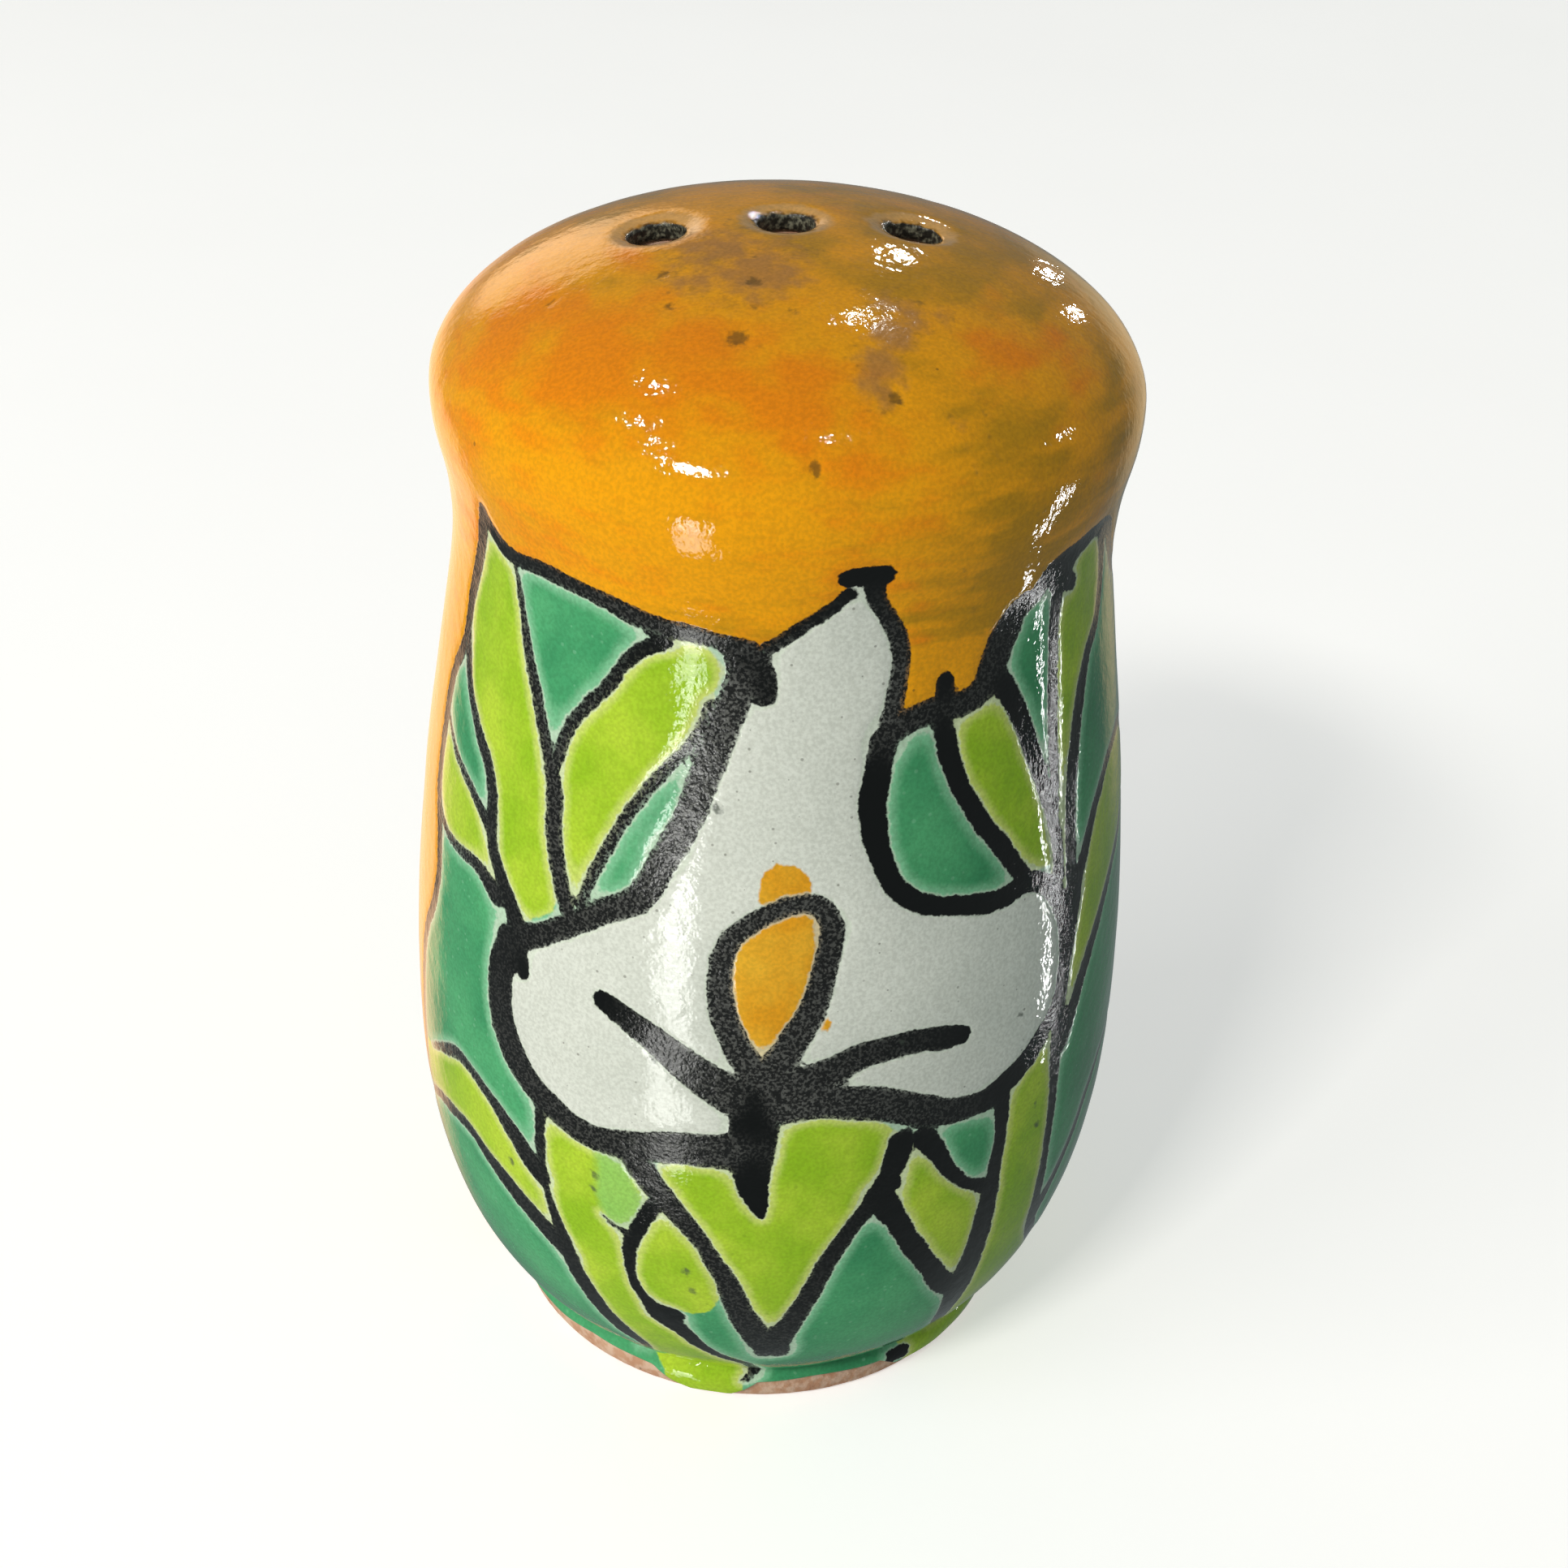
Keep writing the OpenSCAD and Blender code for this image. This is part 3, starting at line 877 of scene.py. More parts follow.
# %% The leaves
LEAVES = [
    [
        (-54.5, 67.5), (-47, 65.7), (-46.2, 63), (-44.5, 60.5), (-42, 58.4), (-38.2, 55), (-36, 52.8),
        (-34.8, 49), (-32.6, 46), (-34, 44.2), (-38, 42.8), (-41.5, 42), (-43.5, 43.5), (-46, 44.9),
        (-48, 46.4), (-49.4, 50), (-51.4, 51.6), (-54.6, 52.8), (-60, 55.6), (-63.3, 58), (-62.5, 61),
        (-58, 65),
    ],
    [
        (-17, 64.4), (-12, 64.6), (-8, 62.8), (-10.2, 60.3), (-12, 58.3), (-17, 55.7), (-21.7, 52.8),
        (-26.4, 48.8), (-30.5, 44.6), (-32.6, 46), (-34.8, 49), (-35.8, 52), (-35.5, 55), (-33.5, 57),
        (-27.8, 60), (-22.3, 62.9),
    ],
    [
        (27.5, 59.2), (33, 60), (37.5, 60.5), (41.2, 58.3), (44.7, 55), (48, 51.4), (50, 48.6),
        (50, 46.5), (43, 46.5), (38.5, 49), (33.2, 52.1), (28.8, 55.5),
    ],
    [
        (50.7, 66.5), (56, 67.2), (62.6, 67.3), (66.4, 65), (68.4, 62.6), (67, 60.5), (62, 58.8),
        (57.6, 55.3), (54.7, 50.2), (54.4, 45), (52.6, 43), (48.5, 45.8), (49.9, 50), (50.5, 58),
    ],
    [
        (53, 32), (53.4, 38.5), (55.5, 42.5), (58, 44.8), (64, 48.2), (71, 50), (80, 50.3), (86, 48.8),
        (90.3, 46.2), (83, 43.8), (70.8, 41.1), (62.4, 37.9), (58.7, 36), (55.5, 33.6),
    ],
    [
        (-68.2, 50), (-67, 51.8), (-62.3, 50.2), (-55.5, 48.9), (-49, 47.2), (-47, 45), (-46, 43),
        (-51.4, 44), (-57.3, 43.9), (-62.3, 44), (-67, 45), (-68.2, 47),
    ],
    [
        (40, 31), (44, 32.4), (48, 34), (51, 34.5), (51.7, 31), (52, 22), (53, 17), (54.2, 14.5),
        (57, 12.3), (62, 10.4), (68, 9.4), (76, 10), (94, 13), (94, 3.3), (75, 3.3), (46, 3.2),
        (42, 4.5), (39, 7.5), (38, 12), (38.4, 19), (39, 25),
    ],
    [
        (23.5, 29.6), (25.2, 29.6), (30.2, 25.9), (33.5, 24.2), (37, 22.5), (37.5, 18), (36, 13),
        (32.5, 14.5), (29, 17), (25.5, 19.6), (22, 22.6), (19, 25.8), (20.5, 27.5),
    ],
    [
        (-15, 27.8), (-11, 29), (-4, 29.5), (0, 30), (5, 33), (15, 33), (21.5, 30.3), (20.3, 27.5),
        (17.5, 25), (14.3, 22.7), (11.4, 20), (9.3, 17), (7, 14), (3.5, 12), (0.5, 12.5), (-2, 15),
        (-4.2, 18), (-7, 20.6), (-10, 22.8), (-13.3, 24.6),
    ],
    [
        (-35, 28.6), (-24, 28.4), (-18, 27.5), (-16, 25), (-17.5, 22), (-19.4, 20), (-19.7, 18),
        (-19.2, 16), (-17.5, 14.2), (-15, 12.6), (-12.5, 11.5), (-9, 9.3), (-6, 7.9), (-0.5, 6.2),
        (0.8, 5), (1.1, 2.8), (-1.5, 2), (-0.5, -2), (-17, -2), (-19, 1.8), (-23.5, 3.2), (-21, 5),
        (-20.6, 6.6), (-22.8, 8), (-25.8, 10), (-30, 14.5), (-33, 20), (-34.4, 22.5), (-35.1, 25.5),
    ],
    [
        (-14.2, 24.2), (-17.5, 22), (-19.2, 20.2), (-19.4, 17.5), (-18.8, 15.3), (-16.5, 13.6),
        (-12.8, 13.8), (-10, 13.6), (-7.5, 14.1), (-6, 15), (-4, 17.5), (-6.3, 20), (-9, 22),
    ],
    [
        (-73.5, 24), (-68, 24.8), (-60, 26.9), (-55.5, 27.9), (-50, 27.6), (-45, 26.6), (-41, 25.3),
        (-35, 22.8), (-32.5, 18.5), (-32, 17), (-36, 18), (-44, 20.3), (-51.5, 22), (-60, 21.7),
        (-65, 21), (-73.8, 19),
    ],
    [
        (34.5, 3.6), (39, 2.6), (94, 3.2), (94, -3), (37.5, -3), (37, 1.6),
    ],
]
WASH = [
    (-24.6, 27.6), (-20.3, 27.6), (-16.8, 24.2), (-17.5, 21.8), (-20, 20.8), (-23.5, 21.6),
    (-24.6, 24),
]


def front_and_back(rows):
    """The smaller signed distance, in mm, to an area of the front or to its twin on the back."""
    return np.minimum(area(rows), area([to_back(p) for p in rows]))


panel_mm = front_and_back(PANEL)
petal_mm = front_and_back(PETALS)
gold_mm = np.min([front_and_back(rows) for rows in (SPADIX, DAB, FLECK)], axis=0)
wash_mm = front_and_back(WASH)
leaf_mm = np.min([front_and_back(rows) for rows in LEAVES], axis=0)
print("lime covers", int((leaf_mm < 0).sum()), "points, the lilies", int((petal_mm < 0).sum()))

# %% [markdown]
# ## The yellow dome
#
# The dome was wiped with yellow on the wheel and handled before it dried. It is a deep orange in
# front and olive towards the crown and the right. Where the glaze was rubbed thin the brownish
# clay shows through, and a few pits and specks of grit have burnt dark. Soft round spots, placed
# on the dome as seen from above, give the broad pattern, and the material roughens them.

# %% Soft spots on the dome: (x, y, radius, strength), all in mm but the last
THIN_SPOTS = [
    (-4.5, -4.5, 3.6, 0.8), (-2.0, -7.5, 3.6, 0.9), (-5.5, -8.0, 2.4, 0.7), (-1.0, -4.0, 3.0, 0.5),
    (5.0, -9.5, 1.8, 0.6), (6.5, -10.5, 1.8, 0.8), (5.6, -12.5, 1.7, 1.0), (5.0, -15.0, 1.6, 1.0),
    (4.8, -16.6, 1.4, 0.8), (8.5, -10.0, 1.4, 0.5), (10.5, -17.0, 2.2, 0.3),
]
OLIVE_SPOTS = [
    (3, 6, 9, 0.6), (10, -3, 7, 0.8), (15, 4, 8, 0.7), (6, -6.5, 4, 0.7), (-8, -10, 4, 0.45),
    (-10, -6, 3, 0.3), (14, -17, 7, 0.7), (9, -18, 4, 0.4), (20, -8, 6, 0.6), (-4, -1, 6, 0.5),
    (-12, 6, 8, 0.5), (0, 15, 9, 0.4), (0, -2, 4, 0.6),
]
ORANGE_SPOTS = [
    (-16, -9, 5, 0.9), (-11, -13, 5, 1.0), (-5, -15.5, 4.5, 1.0), (0, -17.5, 4, 0.9),
    (4, -19.5, 4, 0.6), (12, -11, 3.5, 0.7), (16, -9, 3, 0.6), (-9, -4, 3.2, 0.6), (-20, 6, 6, 0.6),
    (10, 15, 7, 0.6),
]
PITS = [
    (-3.0, -13.6, 0.75), (-2.5, -5.5, 0.3), (-2.3, -8.5, 0.6), (0.0, -11.4, 0.28), (-7.6, -7.0, 0.5),
    (-7.0, -10.5, 0.4), (1.6, -20.9, 0.4), (-14, -7.5, 0.3), (5.9, -16.9, 0.5), (9, 12, 0.5),
    (-11, 13, 0.4), (-2, 18, 0.5),
]

# Grit in the painted panel: (degrees, mm up, radius)
GRIME = [
    (-8.3, 54.0, 0.42), (-25, 25.2, 0.4), (-25.2, 24.0, 0.35), (-10.4, 18.4, 0.45), (-9.4, 16.5, 0.45),
    (-41.5, 22.5, 0.4), (48, 26.0, 0.4), (47, 28.0, 0.3), (42, 36.5, 0.3), (21, 37.5, 0.28),
    (-16, 36.0, 0.25),
]


def spots(rows):
    """How strongly each painted point lies in soft round spots on the dome, from 0 to 1."""
    total = np.zeros(painted_count)
    top = up > 0.78 * total_h
    for x, y, radius, strength in rows:
        flat = np.hypot(canvas[:, 0] - x, canvas[:, 1] - y)
        total = np.maximum(total, np.where(top, strength * np.exp(-((flat / radius) ** 2)), 0))
    return total


# Painted shade: an olive band darkens the crease where the head overhangs the belly, at this height and
# width.
CREASE_UP = 65.5
CREASE_WIDTH = 2.2

thin = spots(THIN_SPOTS)
deep = spots(ORANGE_SPOTS)
crease_shade = np.exp(-(((up - CREASE_UP) / CREASE_WIDTH) ** 2)) * (0.65 + 0.35 * waves(17, 14)(canvas))
olive_and_crease_shade = np.clip(spots(OLIVE_SPOTS) + 0.6 * crease_shade - 0.5 * deep, 0, 1)
grime = np.zeros(painted_count)
for place_deg, place_up, radius in GRIME:
    gap = np.linalg.norm(canvas - on_wall(np.array([[place_deg, place_up]])), axis=1)
    grime = np.maximum(grime, np.exp(-((gap / radius) ** 2)))
pits = spots([(x, y, radius, 1.0) for x, y, radius in PITS])
hole_mm = np.where(up > LEAN_TO, hole_gap(canvas[:, :2] - (HEAD_LEAN, 0.0)), REACH)
lip_drops = np.repeat([drop for wider, drop in LIP_STEPS], LIP_POINTS)
hole_mm[lip_ids.ravel()] = -0.2 - np.tile(lip_drops, len(lips))

# %% [markdown]
# ## Relief
#
# The coloured glazes stand up in shallow cushions and the waxy black lines lie between them, so
# the real pot feels ridged. A bump in the material would not show on the outline of the pot,
# so the points under the lines are moved inwards, and the edges of the cushions are rounded.

# %% Sink the lines and the pits
LINE_DEPTH = 0.05
PIT_DEPTH = 0.12
HAND_GLAZE = 0.03

cushion = gentle(fill_mm, -0.25, 0.55)
in_panel = gentle(-panel_mm, -0.6, 0.2)
under_line = np.maximum(in_panel, gentle(-line_mm, -0.3, 0.1))
sunk = LINE_DEPTH * (1 - cushion) * under_line + PIT_DEPTH * pits
sunk += HAND_GLAZE * pressed(waves(23, 4.5), painted)
sunk[outer_ids[-1]] = 0.0
patch_r = np.hypot(patch[COLUMNS:, 0], patch[COLUMNS:, 1])
patch_arc = np.interp(patch_r, profile[:dome_end, 0], skin_arc[:dome_end])
slope_arc = np.concatenate([outer_arc.ravel(), patch_arc])
pushed = len(slope_arc)
across = np.interp(slope_arc, skin_arc, outwards[:, 0])
along = np.interp(slope_arc, skin_arc, outwards[:, 1])
point_turn = np.arctan2(painted[:pushed, 0], -painted[:pushed, 1])
glaze_points[:pushed] -= around(across, point_turn, along) * sunk[:pushed, None]
print("deepest relief", round(float(sunk.max()), 2), "mm")

# %% The glaze object with its painting
painted_glaze = new_mesh("painted_glaze", glaze_points, glaze_quads, glaze_triangles)


def put_numbers(piece, name, values, rest):
    """Stores one number on each point of a piece; the points after the given ones get the rest value."""
    full = np.full(len(piece.data.vertices), rest, np.float32)
    full[:len(values)] = values
    piece.data.attributes.new(name, "FLOAT", "POINT").data.foreach_set("value", full)


NUMBERS = {
    "line_mm": line_mm, "fill_mm": fill_mm, "panel_mm": panel_mm, "leaf_mm": leaf_mm, "petal_mm": petal_mm,
    "gold_mm": gold_mm, "wash_mm": wash_mm, "hole_mm": hole_mm, "ink": ink, "olive_and_crease_shade": olive_and_crease_shade, "deep": deep,
    "thin": thin, "pits": pits, "grime": grime,
}
INNER_NUMBERS = {"ink": 1.0, "olive_and_crease_shade": 0.3}
for name, values in NUMBERS.items():
    rest = REACH if name.endswith("_mm") else INNER_NUMBERS.get(name, 0.0)
    under_edge = np.tile(values[outer_ids[-1]], len(EDGE_BEAD))
    put_numbers(painted_glaze, name, np.concatenate([values, under_edge]), rest)
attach(painted_glaze, "shaker")
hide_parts("glaze_coat")

# %% [markdown]
# ## The clay body
#
# Under the glaze is one piece of slip-cast clay. Only its foot, the recess in its base, the
# filler hole and the inside of the pour holes are ever seen, but it is modelled all round, with
# its cavity, so that the mesh is a sound solid that can be used by itself.

# %% Outline of the inside of the clay, from the foot up through the filler hole to the cavity
CLAY_COLUMNS = 192
CLAY_SPACING = 1.1
CLAY_LIP_GAPS = (0.0, 0.5, 1.2)
FOOT_ROUND = 4

clay_turn = full_turn(CLAY_COLUMNS)
foot_bottom = max(r for r, z in foot_rings if z < SAME)
foot_bevel_z = min(z for r, z in foot_rings if r > foot_bottom + SAME)
recess_r = min(r for r, z in foot_rings if z < SAME)
foot_curve = [(foot_bottom + (foot_r - foot_bottom) * math.cos(a), foot_bevel_z * (1 - math.sin(a)))
              for a in np.linspace(0, math.pi / 2, FOOT_ROUND)]
# Each edge of the base is worn round by a few tenths of a mm
under_side = [
    (recess_r + 0.35, 0.0), (recess_r + 0.1, 0.1), (recess_r, 0.35), (recess_r, base_low - 0.4),
    (recess_r - 0.12, base_low - 0.1), (recess_r - 0.5, base_low),
    (0.5 * (recess_r + filler_r), base_low), (filler_r + 0.3, base_low),
    (filler_r + 0.06, base_low + 0.1), (filler_r, base_low + 0.35), (filler_r, base_top - 0.3),
    (filler_r + 0.08, base_top - 0.06), (filler_r + 0.3, base_top),
]
in_cavity = [p for p in clay_only if p[1] > base_top - SAME and p[0] > filler_r + 1]
cavity_rings = corners_only(sorted(in_cavity, key=lambda p: p[1]))
print("cavity outline has", len(cavity_rings), "corners; recess radius", round(recess_r, 2))

# %% Rows of the clay, outside from the crown down and inside back up
CLAY_OUT_ROWS = 70
CAVITY_STEP = 1.2
CAVITY_CROWN_R = 12.2
HOLE_STEP = 1.35

clay_arc = np.interp(np.linspace(worth_top, worth[-1], CLAY_OUT_ROWS), worth, skin_arc)
clay_r, clay_z = skin(clay_arc)
outside = around(clay_r[:, None], clay_turn[None, :], clay_z[:, None])
lower = np.array([(r, z) for r, z in foot_curve if z < EDGE_LOW] + under_side)
lower_rows = around(lower[:, :1], clay_turn[None, :], lower[:, 1:])
cavity = smooth_line(cavity_rings, CAVITY_STEP)
cavity_top = cavity[cavity[:, 1] > 0.8 * total_h][::-1]
cavity_rim_z = float(np.interp(CAVITY_CROWN_R, cavity_top[:, 0], cavity_top[:, 1]))
cavity = np.vstack([cavity[(cavity[:, 1] < cavity_rim_z - 0.3)], [CAVITY_CROWN_R, cavity_rim_z]])
cavity_rows = around(cavity[:, :1], clay_turn[None, :], cavity[:, 1:])


def ceiling(flat):
    """Height of the inside of the dome over flat points."""
    return np.interp(np.hypot(flat[:, 0], flat[:, 1]), cavity_top[:, 0], cavity_top[:, 1])


def clay_patch(rim_r):
    """A crown patch with the spacing of the clay."""
    return crown_patch(rim_r, CLAY_COLUMNS, CLAY_SPACING, CLAY_LIP_GAPS)


crown_out, crown_out_faces, out_lips = clay_patch(float(clay_r[0]))
crown_in, crown_in_faces, in_lips = clay_patch(CAVITY_CROWN_R)
crown_out = widened(crown_out)
top_side = np.column_stack([crown_out, dished(crown_out, 0.0)])
under_dome = np.column_stack([crown_in, ceiling(crown_in)])

# %% Join the clay; the bare foot is a little rough, by this many mm
SAND = 0.035

clay_store = Points()
outside_ids = clay_store.add(outside)
lower_ids = clay_store.add(lower_rows)
cavity_ids = clay_store.add(cavity_rows)
crown_ids = np.concatenate([outside_ids[0], clay_store.add(top_side[CLAY_COLUMNS:])])
ceiling_ids = np.concatenate([cavity_ids[-1], clay_store.add(under_dome[CLAY_COLUMNS:])])
clay_quads = [strips(np.concatenate([outside_ids, lower_ids, cavity_ids]))]
for out_lip, in_lip in zip(out_lips, in_lips):
    wide = top_side[out_lip]
    narrow = under_dome[in_lip]
    step_z = wide[:, 2].mean() - HOLE_STEP
    wall_rows = [np.column_stack([wide[:, :2], np.full(LIP_POINTS, step_z)]),
                 np.column_stack([narrow[:, :2], np.full(LIP_POINTS, step_z - 0.15)])]
    wall_ids = clay_store.add(np.stack(wall_rows))
    column = np.concatenate([crown_ids[out_lip][None], wall_ids, ceiling_ids[in_lip][None]])
    clay_quads.append(strips(column)[:, ::-1])
clay_quads = np.concatenate(clay_quads)
clay_triangles = np.concatenate([crown_ids[crown_out_faces], ceiling_ids[crown_in_faces][:, ::-1]])
clay_points = hand_shape(clay_store.all())
rough = SAND * waves(31, 1.6)(clay_points) * gentle(-clay_points[:, 2], -base_top - 2, -base_top)
clay_point_r = np.maximum(np.hypot(clay_points[:, 0], clay_points[:, 1]), 1)
clay_points[:, :2] *= (1 - np.abs(rough) / clay_point_r)[:, None]
earthenware = new_mesh("earthenware", clay_points, clay_quads, clay_triangles)
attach(earthenware, "shaker")
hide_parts("clay_body")

# %% [markdown]
# ## The cork
#
# The stopper is cut from natural cork. The base pinches it where the hole holds it, and it swells
# below. Cork has small dark pores, the lenticels, which run through it as short slots. They are
# cut into the mesh here: points near a pore are pushed in by a depth that fades to nothing at
# the pore's edge.

# %% Surface of the cork, from the middle of the lower face to the middle of the upper face
CORK_COLUMNS = 144
CORK_STEP = 0.3
PORES = 46
PORE_DEPTH = 0.4
GRAIN_DEPTH = 0.04

cork_side = corners_only(cork_rings)
cork_corners = [(0.0, cork_side[0][1])] + [tuple(p) for p in cork_side] + [(0.0, cork_side[-1][1])]
dense = [np.array(cork_corners[0])]
for a, b in zip(cork_corners[:-1], cork_corners[1:]):
    steps = max(1, round(math.dist(a, b) / CORK_STEP))
    dense += [np.array(a) + (np.array(b) - a) * i / steps for i in range(1, steps + 1)]
dense = np.array(dense)
softened = dense.copy()
softened[1:-1] = 0.25 * dense[:-2] + 0.5 * dense[1:-1] + 0.25 * dense[2:]
softened[:, 0] = np.maximum(softened[:, 0], 0.0)
cork_turn = full_turn(CORK_COLUMNS)
cork_rows = around(softened[1:-1, :1], cork_turn[None, :], softened[1:-1, 1:])

# %% Pores and the cork object
cork_down = np.gradient(softened, axis=0)[1:-1]
cork_out = np.stack([cork_down[:, 1], -cork_down[:, 0]], axis=1)
cork_out /= np.linalg.norm(cork_out, axis=1)[:, None]
cork_normals = around(cork_out[:, :1], cork_turn[None, :], cork_out[:, 1:]).reshape(-1, 3)
cork_points = cork_rows.reshape(-1, 3).copy()
pore_draw = np.random.default_rng(41)
pore_places = cork_points[pore_draw.integers(0, len(cork_points), PORES)]
pore_sizes = pore_draw.uniform(0.25, 0.7, PORES)
pore = np.zeros(len(cork_points))
for place, size in zip(pore_places, pore_sizes):
    offset = (cork_points - place) / (size * np.array([1.0, 1.0, 0.55]))
    pore = np.maximum(pore, np.clip(1 - (offset ** 2).sum(axis=1), 0, 1))
grain_press = GRAIN_DEPTH * pressed(waves(43, 1.1), cork_points)
cork_points -= cork_normals * (PORE_DEPTH * pore * pore_sizes.mean() + grain_press)[:, None]
cork_store = Points()
cork_ids = cork_store.add(cork_points.reshape(len(cork_rows), CORK_COLUMNS, 3))
pole_ids = cork_store.add(np.array([[0.0, 0.0, softened[0, 1]], [0.0, 0.0, softened[-1, 1]]]))
cork_quads = strips(cork_ids)[:, ::-1]
cork_fans = np.concatenate([fan(pole_ids[0], cork_ids[0])[:, ::-1], fan(pole_ids[1], cork_ids[-1])])
cork = new_mesh("cork_stopper", cork_store.all(), cork_quads, cork_fans)
put_numbers(cork, "pore", pore, 0.0)
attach(cork, "cork")
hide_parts("stopper")
# %% [markdown]
# ## Node helpers
#
# A material is a small network of nodes. Building it in code is a matter of adding nodes and
# feeding sockets, so a short helper class does both. Every distance in these materials is in mm,
# because the helper takes the place on the piece, which is in metres, and scales it.

# %% Short ways to build a node tree
def srgb(red, green, blue):
    """A colour from the usual 0 to 255 values, as the linear numbers that nodes use."""
    parts = [c / 255 for c in (red, green, blue)]
    return tuple(c / 12.92 if c <= 0.04045 else ((c + 0.055) / 1.055) ** 2.4 for c in parts) + (1.0,)


class Net:
    """A node tree with short ways to add the nodes of this lesson."""

    def __init__(self, tree):
        self.tree = tree

    def add(self, kind, **settings):
        node = self.tree.nodes.new(kind)
        for name, value in settings.items():
            setattr(node, name, value)
        return node

    def feed(self, socket, value):
        if isinstance(value, bpy.types.NodeSocket):
            self.tree.links.new(value, socket)
        else:
            socket.default_value = value

    def math(self, operation, *values):
        node = self.add("ShaderNodeMath", operation=operation)
        for socket, value in zip(node.inputs, values):
            self.feed(socket, value)
        return node.outputs[0]

    def plus(self, first, second):
        return self.math("ADD", first, second)

    def minus(self, first, second):
        return self.math("SUBTRACT", first, second)

    def times(self, first, second):
        return self.math("MULTIPLY", first, second)

    def mask(self, value, start, end):
        """0 at start, 1 at end and a soft step between them; start may be the larger one."""
        node = self.add("ShaderNodeMapRange", interpolation_type="SMOOTHSTEP")
        self.feed(node.inputs["Value"], value)
        self.feed(node.inputs["From Min"], start)
        self.feed(node.inputs["From Max"], end)
        return node.outputs["Result"]

    def blend(self, amount, first, second, way="MIX"):
        """Two colours mixed by an amount, or multiplied or added if the way says so."""
        node = self.add("ShaderNodeMix", data_type="RGBA", blend_type=way)
        for index, value in ((0, amount), (6, first), (7, second)):
            self.feed(node.inputs[index], value)
        return node.outputs[2]

    def over(self, mask, share, base, top):
        """The top colour over the base where the mask is 1, with a share of its full strength."""
        return self.blend(self.times(mask, share), base, top)

    def place(self, stretch=(1.0, 1.0, 1.0)):
        """The place on the piece in mm, stretched if a pattern has a direction."""
        node = self.add("ShaderNodeMapping")
        self.feed(node.inputs["Vector"], self.add("ShaderNodeTexCoord").outputs["Object"])
        node.inputs["Scale"].default_value = [s / MM for s in stretch]
        return node.outputs["Vector"]

    def noise(self, per_mm, detail=2.0, where=None):
        node = self.add("ShaderNodeTexNoise")
        self.feed(node.inputs["Vector"], where or self.place())
        self.feed(node.inputs["Scale"], per_mm)
        self.feed(node.inputs["Detail"], detail)
        return node.outputs[0]

    def wobble(self, noise, size):
        """A noise as a push to either side of 0, size from end to end."""
        return self.times(self.minus(noise, 0.5), size)

    def number(self, name):
        """A number that the painting left on the points."""
        return self.add("ShaderNodeAttribute", attribute_name=name).outputs["Fac"]

    def group(self, tree, **values):
        node = self.add("ShaderNodeGroup", node_tree=tree)
        for name, value in values.items():
            self.feed(node.inputs[name.replace("_", " ")], value)
        return node.outputs


def new_group(name, inputs, outputs):
    """A shader node group; inputs are (name, type, value) and outputs are (name, type)."""
    tree = bpy.data.node_groups.new(name, "ShaderNodeTree")
    for label, kind, value in inputs:
        tree.interface.new_socket(label, in_out="INPUT", socket_type=kind).default_value = value
    for label, kind in outputs:
        tree.interface.new_socket(label, in_out="OUTPUT", socket_type=kind)
    net = Net(tree)
    return net, net.add("NodeGroupInput").outputs, net.add("NodeGroupOutput").inputs


FLOAT = "NodeSocketFloat"
COLOR = "NodeSocketColor"

# %% [markdown]
# ## Effects that several materials share
#
# Cloudy tone is the uneven thickness of a glaze, or the uneven firing of clay. Specks are grit
# and ash. Orange peel is the gentle waviness of a fired surface, which breaks a lamp's reflection
# into sparkles. Each is a node group, built once and used with other values in each material.

# %% Cloudy tone: two colours in soft clouds of one size
cloud_inputs = [("Size", FLOAT, 4.0), ("Light", COLOR, (1, 1, 1, 1)),
                ("Dark", COLOR, (0.5, 0.5, 0.5, 1)), ("Softness", FLOAT, 0.2)]
net, given, out = new_group("cloudy_tone", cloud_inputs, [("Color", COLOR), ("Mask", FLOAT)])
clouds = net.noise(net.math("DIVIDE", 1.0, given["Size"]), 4.0)
cloud_low = net.minus(0.5, given["Softness"])
cloud_high = net.plus(0.5, given["Softness"])
cloud_mask = net.mask(clouds, cloud_low, cloud_high)
net.feed(out["Color"], net.blend(cloud_mask, given["Light"], given["Dark"]))
net.feed(out["Mask"], cloud_mask)
cloudy_tone = net.tree

# %% Fine specks: scattered dots, with a spacing, a size and the share of places that have one
speck_inputs = [("Spacing", FLOAT, 1.5), ("Radius", FLOAT, 0.15), ("Share", FLOAT, 0.4)]
net, given, out = new_group("fine_specks", speck_inputs, [("Mask", FLOAT)])
cells = net.add("ShaderNodeTexVoronoi")
net.feed(cells.inputs["Vector"], net.place())
net.feed(cells.inputs["Scale"], net.math("DIVIDE", 1.0, given["Spacing"]))
cell_parts = net.add("ShaderNodeSeparateColor")
net.feed(cell_parts.inputs[0], cells.outputs["Color"])
speck_r = net.math("DIVIDE", given["Radius"], given["Spacing"])
speck_size = net.times(speck_r, net.plus(cell_parts.outputs["Green"], 0.4))
speck = net.mask(cells.outputs["Distance"], speck_size, net.times(speck_size, 0.5))
chosen = net.math("LESS_THAN", cell_parts.outputs["Red"], given["Share"])
net.feed(out["Mask"], net.times(speck, chosen))
fine_specks = net.tree

# %% Orange peel: the height of a wavy fired surface, in mm
peel_inputs = [("Size", FLOAT, 0.8), ("Depth", FLOAT, 0.01)]
net, given, out = new_group("orange_peel", peel_inputs, [("Height", FLOAT)])
peel_fine = net.noise(net.math("DIVIDE", 1.0, given["Size"]), 1.0)
peel_broad = net.noise(net.math("DIVIDE", 0.35, given["Size"]), 0.0)
peel = net.plus(peel_fine, net.times(peel_broad, 1.6))
net.feed(out["Height"], net.times(peel, given["Depth"]))
orange_peel = net.tree
print("shared effects:", sorted(tree.name for tree in bpy.data.node_groups))


